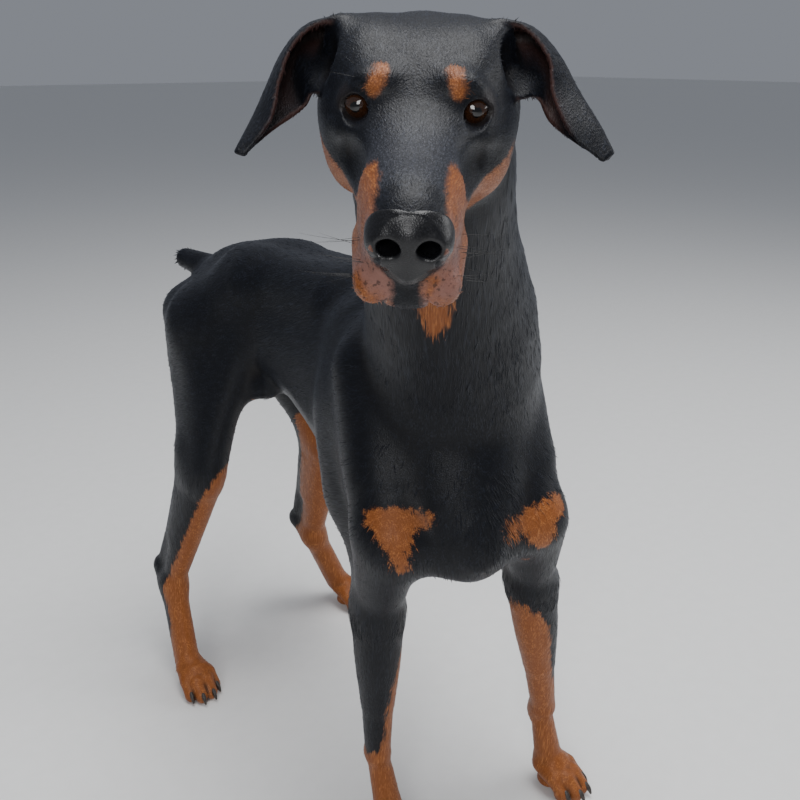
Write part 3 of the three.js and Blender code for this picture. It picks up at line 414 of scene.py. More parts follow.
# Ears: rows of [place along the ear, front margin, crease at the back, rear margin] in the head's frame
earRows = {
    "right": [
        [-0.06, -44, 56, 34.5, -52, 77.3, 20, -55, 39.9, -2.1],
        [0, -49, 53.2, 37.4, -59, 75.4, 22, -61, 36, -1.9],
        [0.22, -66, 52, 33.3, -75, 69.3, 20, -67, 39.8, -4.1],
        [0.45, -79.5, 43.3, 21.3, -87, 58.5, 6, -72, 43.4, -13.3],
        [0.68, -86, 29.3, 3.2, -96, 43.6, -9.3, -80, 39.1, -19.1],
        [0.86, -90, 16.2, -15.4, -103.5, 27.9, -22, -93, 28.7, -26.5],
        [1, -105, 6.2, -34.4, -110, 8.3, -33.5, -107, 10.2, -35.6],
    ],
    "left": [
        [-0.06, 44, 58.1, 35.4, 52, 79.3, 21, 56, 40, -0.1],
        [0, 50, 56.3, 39.2, 60, 77.5, 24, 63, 37, -0.9],
        [0.22, 66.5, 57.1, 35.4, 76, 73.5, 24, 72.5, 43, -0.3],
        [0.45, 81, 47.2, 20.8, 89.5, 59, 15, 79, 45.8, -4.4],
        [0.68, 85, 33.2, 1.6, 101, 43.2, 1.2, 87, 41.2, -16.2],
        [0.86, 96, 16.8, -15, 113, 25.3, -12.5, 103, 26.7, -24],
        [1, 116, 7, -28, 121.5, 12, -24.6, 118.5, 10.8, -28.6],
    ],
}


def earSheet(side, t, v):  # points on the middle surface of an ear, in the head's frame
    r = along(earRows[side], t)
    v = np.asarray(v, float)[:, None]
    return r[:, :3] * (1 - v) * (1 - 2 * v) + r[:, 3:6] * 4 * v * (1 - v) + r[:, 6:] * v * (2 * v - 1)


earThick = 4.4


def earShape(side, nt=90, ns=44):
    t, v = np.meshgrid(np.linspace(-0.06, 1, nt + 1), np.linspace(0, 1, ns + 1), indexing="ij")
    points = earSheet(side, t.ravel(), v.ravel())
    n = ns + 1
    i, j = np.meshgrid(np.arange(nt), np.arange(ns), indexing="ij")
    a = (i * n + j).ravel()
    faces = np.stack([a, a + 1, a + n + 1, a + n], 1)
    tree = BVHTree.FromPolygons(points.tolist(), faces.tolist())
    rim = np.abs(2 * v - 1) ** 4
    half = (earThick / 2 * (1 - 0.15 * rim) * (1 - 0.08 * t)).ravel()
    half = half + skinSize["cover"] - skinSize["earCover"]
    halfAt = half[faces].mean(1)

    def at(p):
        out = np.empty(len(p))
        for k, q in enumerate(p.tolist()):
            found = tree.find_nearest(q)
            out[k] = found[3] - halfAt[found[2]]
        return out

    return Shape(points.mean(0), np.linalg.norm(points - points.mean(0), axis=1).max() + 3, at)


def fleshList():
    out = trunk + neckList() + headList()
    out += foreleg("right") + foreleg("left") + hindleg("right") + hindleg("left")
    for end, joints, size in legs:
        for side in ("right", "left"):
            out += paw(joints[side], size)
    out += [(limb(tailRoot, tailTip, 22, 16), 14)]
    out += [(onHead(earShape(side)), 5) for side in ("right", "left")]
    return out


def softly(a, b, k):
    h = np.maximum(k - np.abs(a - b), 0) / k
    return np.minimum(a, b) - h * h * k / 4


def joined(d, value, k):
    if k > 0:
        return softly(d, value, k)
    return -softly(-d, value, -k) if k < 0 else np.minimum(d, value)


flesh = fleshList()
blockSide = 36.0  # space is parted in blocks, and in each only the shapes that reach it are read
halfDiagonal = 0.87  # of a block with sides of 1
shapeCentres = np.array([shape.centre for shape, k in flesh])
shapeReach = np.array([shape.reach for shape, k in flesh])
softness = np.array([k for shape, k in flesh], float)


def shapesNear(keys):
    c = (keys + 0.5) * blockSide
    reach = blockSide * halfDiagonal
    d = np.full(len(c), 1e9)
    for shape, k in flesh:
        d = joined(d, shape.at(c), k)
    far = np.linalg.norm(c[:, None] - shapeCentres, axis=2) - shapeReach
    limit = np.where(softness >= 0, d[:, None] + 2 * reach + softness, reach + 30 - softness) + 4
    return far < limit


def distance(p):  # above nought outside the flesh
    keys, place = np.unique(np.floor(p / blockSide), axis=0, return_inverse=True)
    near = shapesNear(keys)
    place = place.ravel()
    d = np.full(len(p), 1e9)
    for n, (shape, k) in enumerate(flesh):
        pick = np.nonzero(near[place, n])[0]
        if len(pick):
            d[pick] = joined(d[pick], shape.at(p[pick]), k)
    return d


def slopeAt(p, e=0.25):
    q = np.concatenate([p + e * axis for axis in np.vstack([np.eye(3), -np.eye(3)])])
    d = distance(q).reshape(6, -1)
    return (d[:3] - d[3:]).T / (2 * e)


# A net of faces over the surface where the flesh is cover millimetres deep
def netOver(lo, hi, step, cover):
    lo, hi = np.asarray(lo, float), np.asarray(hi, float)
    count = np.ceil((hi - lo) / step).astype(int) + 1
    side = 8
    blocks = np.ceil(count / side).astype(int)
    corner = np.stack(np.meshgrid(*[np.arange(b) * side for b in blocks], indexing="ij"), -1).reshape(-1, 3)
    centre = lo + (corner + side / 2) * step
    rough = distance(centre) + cover
    value = np.full(blocks * side, 1.0)
    parted = value.reshape(blocks[0], side, blocks[1], side, blocks[2], side).transpose(0, 2, 4, 1, 3, 5)
    parted = parted.reshape(-1, side, side, side)
    parted[:] = np.where(rough < 0, -9.0, 9.0)[:, None, None, None]
    close = np.nonzero(np.abs(rough) < side * step * halfDiagonal * 1.7 + 4)[0]
    inner = np.stack(np.meshgrid(*[np.arange(side)] * 3, indexing="ij"), -1).reshape(-1, 3)
    points = lo + (corner[close][:, None] + inner) * step
    parted[close] = (distance(points.reshape(-1, 3)) + cover).reshape(-1, side, side, side)
    value = parted.reshape(*blocks, side, side, side).transpose(0, 3, 1, 4, 2, 5).reshape(blocks * side)
    value = value[:count[0], :count[1], :count[2]]
    value = np.where(np.abs(value) < 1e-4 * step, 1e-4 * step, value)
    filled = value < 0
    corners = np.array([[c & 1, (c >> 1) & 1, c >> 2] for c in range(8)])
    n = np.array(value.shape) - 1
    total = np.zeros(n, int)
    for c in corners:
        total += filled[c[0]:c[0] + n[0], c[1]:c[1] + n[1], c[2]:c[2] + n[2]]
    cells = np.argwhere((total > 0) & (total < 8))
    name = np.full(n, -1)
    name[tuple(cells.T)] = np.arange(len(cells))
    sums, crossings = np.zeros((len(cells), 3)), np.zeros(len(cells))
    for a in range(8):
        for axis in (1, 2, 4):
            if a & axis:
                continue
            ca, cb = corners[a], corners[a | axis]
            va, vb = value[tuple((cells + ca).T)], value[tuple((cells + cb).T)]
            hit = (va < 0) != (vb < 0)
            t = np.where(hit, va / np.where(hit, va - vb, 1), 0)
            sums += np.where(hit[:, None], ca + (cb - ca) * t[:, None], 0)
            crossings += hit
    points = lo + (cells + sums / crossings[:, None]) * step
    quads = []
    for axis in range(3):
        u, v = (axis + 1) % 3, (axis + 2) % 3
        ahead = np.eye(3, dtype=int)
        size = np.array(value.shape) - ahead[axis]
        first = filled[:size[0], :size[1], :size[2]]
        second = filled[ahead[axis][0]:, ahead[axis][1]:, ahead[axis][2]:]
        edges = np.argwhere(first != second)
        edges = edges[(edges[:, u] > 0) & (edges[:, v] > 0) & (edges[:, u] < n[u]) & (edges[:, v] < n[v])]
        outward = first[tuple(edges.T)]
        around = [name[tuple((edges - d).T)] for d in (ahead[u] + ahead[v], ahead[v], 0 * ahead[u], ahead[u])]
        ring = np.stack(around, 1)
        ring[~outward] = ring[~outward][:, ::-1]
        quads.append(ring)
    return points, np.concatenate(quads)


def settle(points, cover, times, reach):
    for _ in range(times):  # moves points onto the surface
        d = distance(points) + cover
        g = slopeAt(points)
        g2 = np.maximum((g * g).sum(1), 0.15)
        move = -g * (d / g2)[:, None]
        size = np.linalg.norm(move, axis=1)
        points = points + move * np.minimum(1, reach / np.maximum(size, 1e-9))[:, None]
    return points


def threeSided(points, quads):
    a, b, c, d = quads.T
    short = np.linalg.norm(points[a] - points[c], axis=1) <= np.linalg.norm(points[b] - points[d], axis=1)
    first = np.where(short[:, None], quads[:, [0, 1, 2]], quads[:, [0, 1, 3]])
    second = np.where(short[:, None], quads[:, [0, 2, 3]], quads[:, [1, 2, 3]])
    return np.concatenate([first, second])


def sidesOf(faces):
    return np.concatenate([faces[:, [0, 1]], faces[:, [1, 2]], faces[:, [2, 0]]])


def edgesOf(faces, **more):
    return np.unique(np.sort(sidesOf(faces), axis=1), axis=0, **more)


def openLoops(faces, size):
    edges = sidesOf(faces)
    ahead, back = edges[:, 0] * size + edges[:, 1], edges[:, 1] * size + edges[:, 0]
    rim = edges[~np.isin(ahead, back)]
    following = dict(rim.tolist())
    loops = []
    while following:
        start, at = next(iter(following.items()))
        loop = [start]
        del following[start]
        while at != start and at in following:
            loop.append(at)
            at = following.pop(at)
        loops.append(loop)
    return loops


def compacted(points, faces):
    used, faces = np.unique(faces, return_inverse=True)
    return points[used], faces.reshape(-1, 3)


def zipped(a, b, centre, reach=60):
    pointsA, facesA = a  # joins the open rims of two nets that meet at a cut
    pointsB, facesB = b
    points = np.concatenate([pointsA, pointsB])
    facesB = facesB + len(pointsA)
    rims = []
    for faces in (facesA, facesB):
        loops = openLoops(faces, len(points))
        loops = [loop for loop in loops if np.linalg.norm(points[loop].mean(0) - centre) < reach]
        rims.append(max(loops, key=len))
    rimA, rimB = rims[0], rims[1][::-1]
    start = int(np.argmin(np.linalg.norm(points[rimB] - points[rimA[0]], axis=1)))
    rimB = rimB[start:] + rimB[:start]
    rimA, rimB = rimA + rimA[:1], rimB + rimB[:1]
    i = j = 0
    strip = []
    while i < len(rimA) - 1 or j < len(rimB) - 1:
        stepA = np.linalg.norm(points[rimA[i + 1]] - points[rimB[j]]) if i < len(rimA) - 1 else 1e9
        stepB = np.linalg.norm(points[rimA[i]] - points[rimB[j + 1]]) if j < len(rimB) - 1 else 1e9
        if stepA <= stepB:
            strip.append([rimA[i + 1], rimA[i], rimB[j]])
            i += 1
        else:
            strip.append([rimA[i], rimB[j], rimB[j + 1]])
            j += 1
    return points, np.concatenate([facesA, facesB, np.array(strip)])


def finer(points, faces, pick):
    edges, which = edgesOf(faces, return_inverse=True)
    which = which.reshape(3, -1).T
    marked = np.zeros(len(edges), bool)
    marked[which[pick]] = True
    names = np.full(len(edges), -1)
    names[marked] = len(points) + np.arange(marked.sum())
    points = np.concatenate([points, points[edges[marked]].mean(1)])
    middle = names[which]
    count = (middle >= 0).sum(1)
    out = [faces[count == 0]]
    for _ in range(3):  # each turn of the corners
        one = (count == 1) & (middle[:, 0] >= 0)
        a, b, c = faces[one].T
        m = middle[one, 0]
        out += [np.stack([a, m, c], 1), np.stack([m, b, c], 1)]
        two = (count == 2) & (middle[:, 0] >= 0) & (middle[:, 1] >= 0)
        a, b, c = faces[two].T
        m, n = middle[two, 0], middle[two, 1]
        out += [np.stack([a, m, n], 1), np.stack([m, b, n], 1), np.stack([a, n, c], 1)]
        faces, middle = np.roll(faces, -1, axis=1), np.roll(middle, -1, axis=1)
    a, b, c = faces[count == 3].T
    m, n, o = middle[count == 3].T
    out += [np.stack(t, 1) for t in ((a, m, o), (m, b, n), (n, c, o), (m, n, o))]
    return points, np.concatenate(out)


def relaxed(points, faces, amount=0.5):
    edges = edgesOf(faces)
    total, count = np.zeros_like(points), np.zeros(len(points))
    for a, b in ((0, 1), (1, 0)):
        for axis in range(3):
            total[:, axis] += np.bincount(edges[:, a], points[edges[:, b], axis], len(points))
        count += np.bincount(edges[:, a], minlength=len(points))
    return mix(points, total / np.maximum(count, 1)[:, None], amount)


neckJoin = {"place": fromHead([0, 112, 4]), "way": unit(headAxes @ vec(0, -0.832, 0.555))}
bodyBox = ([-270, -500, 52], [240, 350, 900])
headBox = ([-350, -620, 740], [-60, -330, 960])
floorLevel = 0.3


def partOf(lo, hi, step, keep):
    points, quads = netOver(lo, hi, step, skinSize["cover"])
    kept = keep(points)
    return compacted(points, threeSided(points, quads[kept[quads].all(1)]))


def aboveNeck(points):
    return (points - neckJoin["place"]) @ neckJoin["way"]


def buildSkin():
    cover, top, gap, reach = [skinSize[key] for key in ("cover", "pawTop", "joinGap", "pawReach")]
    net = partOf(*bodyBox, skinSize["bodyStep"], lambda p: (aboveNeck(p) < -gap) & (p[:, 2] > top + gap))
    print("body net", len(net[1]))
    headNet = partOf(*headBox, skinSize["headStep"], lambda p: aboveNeck(p) > gap)
    print("head net", len(headNet[1]))
    net = zipped(net, headNet, neckJoin["place"] + headAxes @ vec(0, 8, -60), 130)
    for end, joints, size in legs:
        for j in joints.values():
            lo, hi = j["foot"] - vec(reach, reach, 4), j["foot"] + vec(reach, reach, top + 14)
            pawNet = partOf(lo, hi, skinSize["pawStep"], lambda p: p[:, 2] < top - gap)
            net = zipped(net, pawNet, onPaw(j, 0, -36, top))
    points, faces = net
    print("skin net", len(faces), "open rims", len(openLoops(faces, len(points))))
    at = toHead(points)
    fine = np.zeros(len(points), bool)
    for s in (-1, 1):
        fine |= np.linalg.norm((at - eyeAt(s) - gaze(s) * 10) / vec(1.2, 1, 1), axis=1) < 13
    fine |= (at[:, 1] < -104) & (at[:, 2] < -24) & (at[:, 2] > -58)
    points, faces = finer(points, faces, fine[faces].any(1))
    points = settle(relaxed(points, faces), cover, 1, 2.0)
    points = settle(relaxed(points, faces, 0.35), cover, 2, 1.5)
    points[:, 2] = np.maximum(points[:, 2], floorLevel)  # soles are flat
    return points, faces


# The part's frame: where the CAD's right eye is, against where it is here
eyeLow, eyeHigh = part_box("eye_right")
shift = np.array((eyeLow + eyeHigh) / 2) * 1000 - fromHead(eyeAt(-1))


def placed(points):
    return (points + shift) / 1000


def meshOf(name, points, faces, smooth=True):
    mesh = bpy.data.meshes.new(name)
    faces = np.asarray(faces)
    mesh.vertices.add(len(points))
    mesh.vertices.foreach_set("co", placed(np.asarray(points)).astype(np.float32).ravel())
    mesh.loops.add(faces.size)
    mesh.loops.foreach_set("vertex_index", faces.astype(np.int32).ravel())
    mesh.polygons.add(len(faces))
    mesh.polygons.foreach_set("loop_start", np.arange(0, faces.size, faces.shape[1], dtype=np.int32))
    mesh.polygons.foreach_set("use_smooth", np.full(len(faces), smooth))
    mesh.update(calc_edges=True)
    mesh.validate()
    return linked(name, mesh)


def put(piece, name, values, kind="FLOAT"):
    layer = piece.data.attributes.new(name, kind, "POINT")
    layer.data.foreach_set("value" if kind == "FLOAT" else "vector", np.asarray(values, np.float32).ravel())


skinPoints, skinFaces = buildSkin()
skin = meshOf("skin", skinPoints, skinFaces)
print("skin", len(skinFaces))


# Nose leather: a closed layer of its own over the skin's nose
noseLeather = {"proud": 0.45, "tucked": -1.2, "depth": 3.2, "edge": 1.1}
nosePad = [  # what the bare leather covers, in the head's frame
    ball([0, -101.5, -36.5], [25, 19, 20.6]),
    ball([0, -108, -50], [13, 12, 13]),
]


def outsideNose(p):
    at = toHead(p)
    return softly(nosePad[0].at(at), nosePad[1].at(at), 6)


def normalsOf(points, faces):
    a, b, c = points[faces[:, 0]], points[faces[:, 1]], points[faces[:, 2]]
    across = np.cross(b - a, c - a)
    total = np.zeros_like(points)
    for k in range(3):
        for axis in range(3):
            total[:, axis] += np.bincount(faces[:, k], across[:, axis], len(points))
    return total / np.maximum(np.linalg.norm(total, axis=1), 1e-12)[:, None]


def leatherOver(points, faces, normals):
    far = outsideNose(points)
    picked = faces[(far[faces] < 0.5).all(1)]
    used, inner = np.unique(picked, return_inverse=True)
    inner = inner.reshape(-1, 3)
    p, n = points[used], normals[used]
    lift = np.interp(far[used], [-noseLeather["edge"], 0], [noseLeather["proud"], noseLeather["tucked"]])
    top, under = p + n * lift[:, None], p - n * noseLeather["depth"]
    count = len(used)
    sides = []
    for loop in openLoops(inner, count):
        for a, b in zip(loop, loop[1:] + loop[:1]):
            sides += [[b, a, a + count], [b, a + count, b + count]]
    shell = np.concatenate([inner, inner[:, ::-1] + count, np.array(sides)])
    return meshOf("noseLeather", np.concatenate([top, under]), shell)


# Eyes: a ball with a raised cornea, and the angle from the gaze kept for the iris
eyeShape = {"cornea": 0.9, "corneaAngle": 34, "rings": 72, "sides": 72}


def eyePiece(side, s):
    g, e = gaze(s), eyeShape
    u = unit(np.cross(g, [0, 0, 1]))
    v = np.cross(u, g)
    angles = np.pi * (np.linspace(0, 1, e["rings"] + 1)[1:-1] ** 1.4)
    around = np.linspace(0, 2 * np.pi, e["sides"], endpoint=False)
    bulge = np.clip(1 - np.degrees(angles) / e["corneaAngle"], 0, 1)
    radius = eyeball["radius"] + e["cornea"] * (bulge * bulge * (3 - 2 * bulge))
    flat = np.sin(angles) * radius
    ring = flat[:, None, None] * (np.cos(around)[:, None] * u + np.sin(around)[:, None] * v)
    rings = (ring + (np.cos(angles) * radius)[:, None, None] * g).reshape(-1, 3)
    n = e["sides"]
    points = np.vstack([g * (eyeball["radius"] + e["cornea"]), rings, -g * eyeball["radius"]])
    turn = np.concatenate([[0], np.repeat(np.degrees(angles), n), [180]])
    j = np.arange(n)
    k = (j + 1) % n
    faces = [np.stack([0 * j, 1 + k, 1 + j], 1)]
    for i in range(len(angles) - 1):
        a, b = 1 + i * n, 1 + (i + 1) * n
        faces += [np.stack([a + j, a + k, b + k], 1), np.stack([a + j, b + k, b + j], 1)]
    a = 1 + (len(angles) - 1) * n
    faces.append(np.stack([a + j, a + k, 0 * j + len(points) - 1], 1))
    piece = meshOf(side + "Eye", fromHead(eyeAt(s) + points), np.concatenate(faces))
    put(piece, "fromGaze", turn)
    return piece


# Claws
clawShape = {  # rows: place, how far forward, height, radius
    "sides": 16, "steps": 12, "rows": [[0, -5, 17, 4], [1, 0, 16.6, 4], [2, 5, 12.5, 3.2], [3, 8.4, 6, 1.5]],
}


def clawPiece(name, j, size, t):
    rows = along(clawShape["rows"], np.linspace(0, 3, clawShape["steps"] + 1))
    centres = np.array([toePoint(j, size, t, k, z) for k, z, r in rows])
    fan = math.radians(j["toeTurn"] + t["fan"])
    s = vec(math.cos(fan), math.sin(fan), 0)
    turn = np.linspace(0, 2 * np.pi, clawShape["sides"], endpoint=False)
    points = []
    for i, centre in enumerate(centres):
        u = unit(centres[min(i + 1, len(centres) - 1)] - centres[max(i - 1, 0)])
        w = np.cross(s, u)
        r = rows[i, 2]
        points += [centre + r * (0.86 * math.cos(a) * s + math.sin(a) * w) for a in turn]
    n = clawShape["sides"]
    faces = []
    for i in range(len(centres) - 1):
        for a in range(n):
            b = (a + 1) % n
            faces += [[i * n + a, i * n + b, (i + 1) * n + b], [i * n + a, (i + 1) * n + b, (i + 1) * n + a]]
    last = (len(centres) - 1) * n
    tip = centres[-1] + unit(centres[-1] - centres[-2]) * rows[-1, 2] * 0.7
    points += [centres[0], tip]
    for a in range(n):
        b = (a + 1) % n
        faces += [[b, a, len(points) - 2], [last + a, last + b, len(points) - 1]]
    return meshOf(name, np.array(points), np.array(faces))


skinNormals = normalsOf(skinPoints, skinFaces)
leather = leatherOver(skinPoints, skinFaces, skinNormals)
eyes = [eyePiece("right", -1), eyePiece("left", 1)]
claws = []
for end, joints, size in legs:
    for side, j in joints.items():
        for n, t in enumerate(toes):
            claws.append((clawPiece(f"claw.{end}.{side}.{n + 1}", j, size, t), f"claw_{end}_{side}_{n + 1}"))
print("nose, eyes and claws made")


# Marks of the coat. tanAt is how many millimetres a point lies inside the tan hair.
def smooth(x, a, b):
    t = np.clip((x - a) / (b - a), 0, 1)
    return t * t * (3 - 2 * t)


def within(shapes, p):
    return np.max([-shape.at(p) for shape in shapes], axis=0)


faceMarks = {  # by place along the head: half width of the muzzle's black, height of the cheek's tan
    "blackTop": [[-108, 19], [-95, 19], [-80, 18], [-62, 20], [-50, 26], [-38, 33], [-20, 40]],
    "cheekTop": [[-60, -16], [-48, -24], [-38, -38], [-20, -48], [0, -45], [15, -34], [30, -26], [45, -32]],
}
browSpots = [limb([s * 24.4, -9, 13.6], [s * 21.4, 0, 21.5], 4.3, 4.8) for s in (-1, 1)]
chestMarks = [
    limb([-118, -300, 497], [-86, -333, 500], 11, 9), limb([-108, -315, 490], [-108, -328, 452], 20, 6),
    limb([-12, -374, 486], [50, -370, 490], 11, 11), limb([22, -376, 480], [30, -378, 452], 20, 8),
    limb(fromHead([0, 34, -84]), [-109, -376, 708], 21, 12),  # throat
    limb([-109, -376, 708], [-109, -369, 688], 12, 5),
    ball(bend([4, 318, 566]), [22, 18, 26]),  # under the tail
]
legMarks = [  # where the black lies on each leg, and how far out from its middle it starts at each height
    (foreJoints["right"], unit(vec(-0.986, -0.163, 0)),
     [[0, 90], [60, 70], [110, 40], [128, 24], [150, 8], [200, 4], [250, 1], [290, -6], [335, -28],
      [380, -70]]),
    (foreJoints["left"], unit(vec(1, 0.25, 0)),
     [[0, 90], [60, 70], [120, 45], [165, 20], [180, 8], [200, 0], [240, -6], [300, -11], [335, -28],
      [380, -70]]),
    (hindJoints["right"], unit(vec(-0.7, 0.7, 0)),
     [[0, 90], [40, 60], [62, 24], [100, 8], [150, 4], [250, -3], [330, -9], [380, -24], [425, -70]]),
    (hindJoints["left"], unit(vec(0.6, 0.8, 0)),
     [[0, 90], [60, 30], [90, 13], [150, 4], [300, 5], [400, 2], [430, -20], [475, -70]]),
]


markReach = {"far": 60, "leg": 78, "legTop": 480}  # the most that tanAt gives, and where the leg marks end


def tableAt(table, x):
    return np.interp(x, *np.array(table, float).T)


def tanAt(p):
    at = toHead(p)
    x, y, z = np.abs(at[:, 0]), at[:, 1], at[:, 2]
    onMuzzle = x - mix(tableAt(faceMarks["blackTop"], y), 8, smooth(-z, 48, 62))
    onCheek = tableAt(faceMarks["cheekTop"], y) - z
    face = mix(onMuzzle, onCheek, smooth(y, -58, -36))
    face = np.minimum(np.minimum(face, 44 - y), 62 - x)
    face = np.minimum(face, ball([0, -97, -86], [13, 15, 11]).at(at))
    far = markReach["far"]
    face = np.where(aboveNeck(p) > -40, np.maximum(face, within(browSpots, at)), -far)
    out = np.maximum(face, within(chestMarks, p))
    for j, black, table in legMarks:
        spine = np.array([j[key] for key in ("foot", "wrist", "hock", "elbow", "knee") if key in j])
        side = p[:, :2] - np.stack([np.interp(p[:, 2], spine[:, 2], spine[:, k]) for k in (0, 1)], 1)
        leg = tableAt(table, p[:, 2]) - side @ black[:2]
        leg = np.minimum(leg, markReach["leg"] - np.linalg.norm(side, axis=1))
        out = np.maximum(out, np.where(p[:, 2] < markReach["legTop"], leg, -far))
    return np.clip(out, -far, far)


# Lie of the coat: where the hair points, and how much each stretch of the body has of it
lies = {
    "head": unit(headAxes @ vec(0, 1, -0.2)),
    "neck": unit(vec(0.34, 0.42, -0.84)),
    "trunk": unit(vec(0, 0.93, -0.36)),
    "legs": unit(vec(0, 0.12, -1)),
}


def onEar(p):
    return smooth(np.abs(toHead(p)[:, 0]), 58, 68) * (aboveNeck(p) > -20)


def stretches(p):  # the ears' hair lies as the legs' does
    head = smooth(aboveNeck(p), -30, 30)
    hanging = np.maximum(1 - smooth(p[:, 2], 330, 440), onEar(p))
    neck = smooth(-p[:, 1], 210, 330) * (1 - head) * (1 - hanging)
    head = head * (1 - hanging)
    return {"head": head, "neck": neck, "trunk": np.clip(1 - head - neck - hanging, 0, 1), "legs": hanging}


def lieAt(p, n):
    way = sum(weight[:, None] * lies[name] for name, weight in stretches(p).items())
    way = way + onEar(p)[:, None] * (np.sign(toHead(p)[:, :1]) * headAxes[:, 0] * 0.5)
    way = way - n * (way * n).sum(1)[:, None]
    return way / np.maximum(np.linalg.norm(way, axis=1), 1e-6)[:, None]


# Painted shade: how far the skin curves inward at each point, used to darken creases, the gaps between the toes, the
# mouth line, nostrils, ear cups and lids as if they lay in shade
def shadeOfCreases(points, faces, normals):
    edges = edgesOf(faces)
    length = np.linalg.norm(points[edges[:, 0]] - points[edges[:, 1]], axis=1)
    near = np.bincount(edges.ravel(), np.repeat(length, 2), len(points))
    near = near / np.maximum(np.bincount(edges.ravel(), minlength=len(points)), 1)
    bent = ((relaxed(points, faces, 1) - points) * normals).sum(1) / near
    for _ in range(2):
        bent = relaxed(np.repeat(bent[:, None], 3, 1), faces, 0.6)[:, 0]
    return np.clip(bent * 9, 0, 1)


def looksOf(p, n):
    at = toHead(p)
    up = n @ headAxes[:, 2]
    inHead = aboveNeck(p) > -30
    # The muzzle's top is paler where it faces up, partly dust-grey hair and partly painted sheen; the crown's upward
    # faces get a faint painted sheen from above
    muzzleTopDustAndSheen = smooth(-at[:, 1], 5, 50) * smooth(up, 0.1, 0.6) * (1 - smooth(-at[:, 1], 84, 98))
    crownSheen = smooth(up, 0.3, 0.9) * 0.16
    near = np.nonzero(inHead & (np.abs(at[:, 0]) > 50) & (at[:, 1] > 0) & (at[:, 2] > -45))[0]
    bare = np.zeros(len(p))
    for side, s in (("right", -1), ("left", 1)):
        pick = near[at[near, 0] * s > 0]
        close = 1 - smooth(earShape(side).at(at[pick]), 0, 6)
        inner = smooth(n[pick] @ headAxes @ unit(vec(-s * 0.7, -0.7, -0.25)), 0.1, 0.6)
        bare[pick] = close * inner * (1 - smooth(np.abs(at[pick, 0]), 84, 100))
    return {
        # the pale muzzle top and crown: dust with painted sheen
        "tan": tanAt(p), "dustAndSheen": inHead * np.maximum(muzzleTopDustAndSheen, crownSheen), "bare": bare,
        "pink": inHead * smooth(-at[:, 1], 62, 92) * smooth(-at[:, 2], 12, 40),
        "lidRim": sum(1 - smooth(np.linalg.norm(at - eyeAt(s), axis=1), 13.8, 17) for s in (-1, 1)) * inHead,
    }


def giveLooks(piece, p, n, rows=1):
    for name, values in {**looksOf(p, n), **{"on" + k.title(): v for k, v in stretches(p).items()}}.items():
        put(piece, name, np.repeat(values, rows))


giveLooks(skin, skinPoints, skinNormals)
# painted shade for the creases
put(skin, "paintedShade", shadeOfCreases(skinPoints, skinFaces, skinNormals))
put(skin, "tip", np.zeros(len(skinPoints)))
print("marks set")


# Materials
def materialOf(name):
    material = bpy.data.materials.new(name)
    material.use_nodes = True
    return material, material.node_tree


def isSocket(value):
    return isinstance(value, bpy.types.NodeSocket)


def feed(tree, inputs, values):  # a socket is linked, a number is set on the input itself
    for key, value in values:
        if isSocket(value):
            tree.links.new(value, inputs[key])
        elif value is not None:
            inputs[key].default_value = value


def finished(material, values):
    feed(material.node_tree, material.node_tree.nodes["Principled BSDF"].inputs, values.items())
    return material


def node(tree, kind, *values, **settings):
    out = tree.nodes.new("ShaderNode" + kind)
    for key in [key for key in settings if key not in out.inputs]:
        setattr(out, key, settings.pop(key))
    feed(tree, out.inputs, [*enumerate(values), *settings.items()])
    return out


def times(tree, a, b):
    return node(tree, "Math", a, b, operation="MULTIPLY").outputs[0]


def plus(tree, a, b, operation="ADD"):
    return node(tree, "Math", a, b, operation=operation).outputs[0]


def blend(tree, amount, *colours):
    out = node(tree, "Mix", amount, data_type="RGBA")
    feed(tree, out.inputs, enumerate([c if isSocket(c) else (*c, 1) for c in colours], 6))
    return out.outputs[2]


def held(tree, name):
    return node(tree, "Attribute", attribute_name=name).outputs["Fac"]


def between(tree, value, *ends, **settings):
    return node(tree, "MapRange", value, *ends, **settings).outputs[0]


def ramp(tree, value, a, b):
    return between(tree, value, a, b, 0, 1, interpolation_type="SMOOTHSTEP")


def noise(tree, vector, scale, detail=2):
    return node(tree, "TexNoise", Vector=vector, Scale=scale, Detail=detail, Roughness=0.5).outputs["Fac"]


def bump(tree, height, distance, strength):
    return node(tree, "Bump", Height=height, Distance=distance, Strength=strength).outputs[0]


def objectPlace(tree):
    return node(tree, "TexCoord").outputs["Object"]


coatLook = {
    "black": (0.0022, 0.0026, 0.0042), "blackTip": (0.0105, 0.0125, 0.019), "rust": (0.2, 0.06, 0.015),
    # the pale blue-grey on the next line is dust on the muzzle with painted sheen over muzzle and crown
    "rustTip": (0.36, 0.135, 0.042), "salmon": (0.215, 0.105, 0.082), "sheenAndDustColour": (0.055, 0.058, 0.07),
    "skin": (0.05, 0.022, 0.018), "spot": (0.035, 0.016, 0.013), "lidRim": (0.012, 0.009, 0.009),
    # the first colour on the next line is the near-black painted shade that creases are darkened towards
    "paintedShadeColour": (0.006, 0.0045, 0.004), "strandAcross": 0.0011, "strandAlong": 0.015, "bump": 0.0005,
}


def streaks(tree, where, across, along, scale=1):
    total = None  # noise drawn out along the hair, in each stretch's own direction
    for name, way in lies.items():
        side = sideOf(way, [0.3, 0.2, 0.9])
        axes = np.stack([side, way, np.cross(side, way)], 1)
        turn = tuple(Matrix(axes.tolist()).to_euler())
        size = (across, along, across)
        drawn = node(tree, "Mapping", where, None, turn, size, vector_type="TEXTURE").outputs[0]
        part = times(tree, noise(tree, drawn, scale), held(tree, "on" + name.title()))
        total = part if total is None else plus(tree, total, part)
    return total


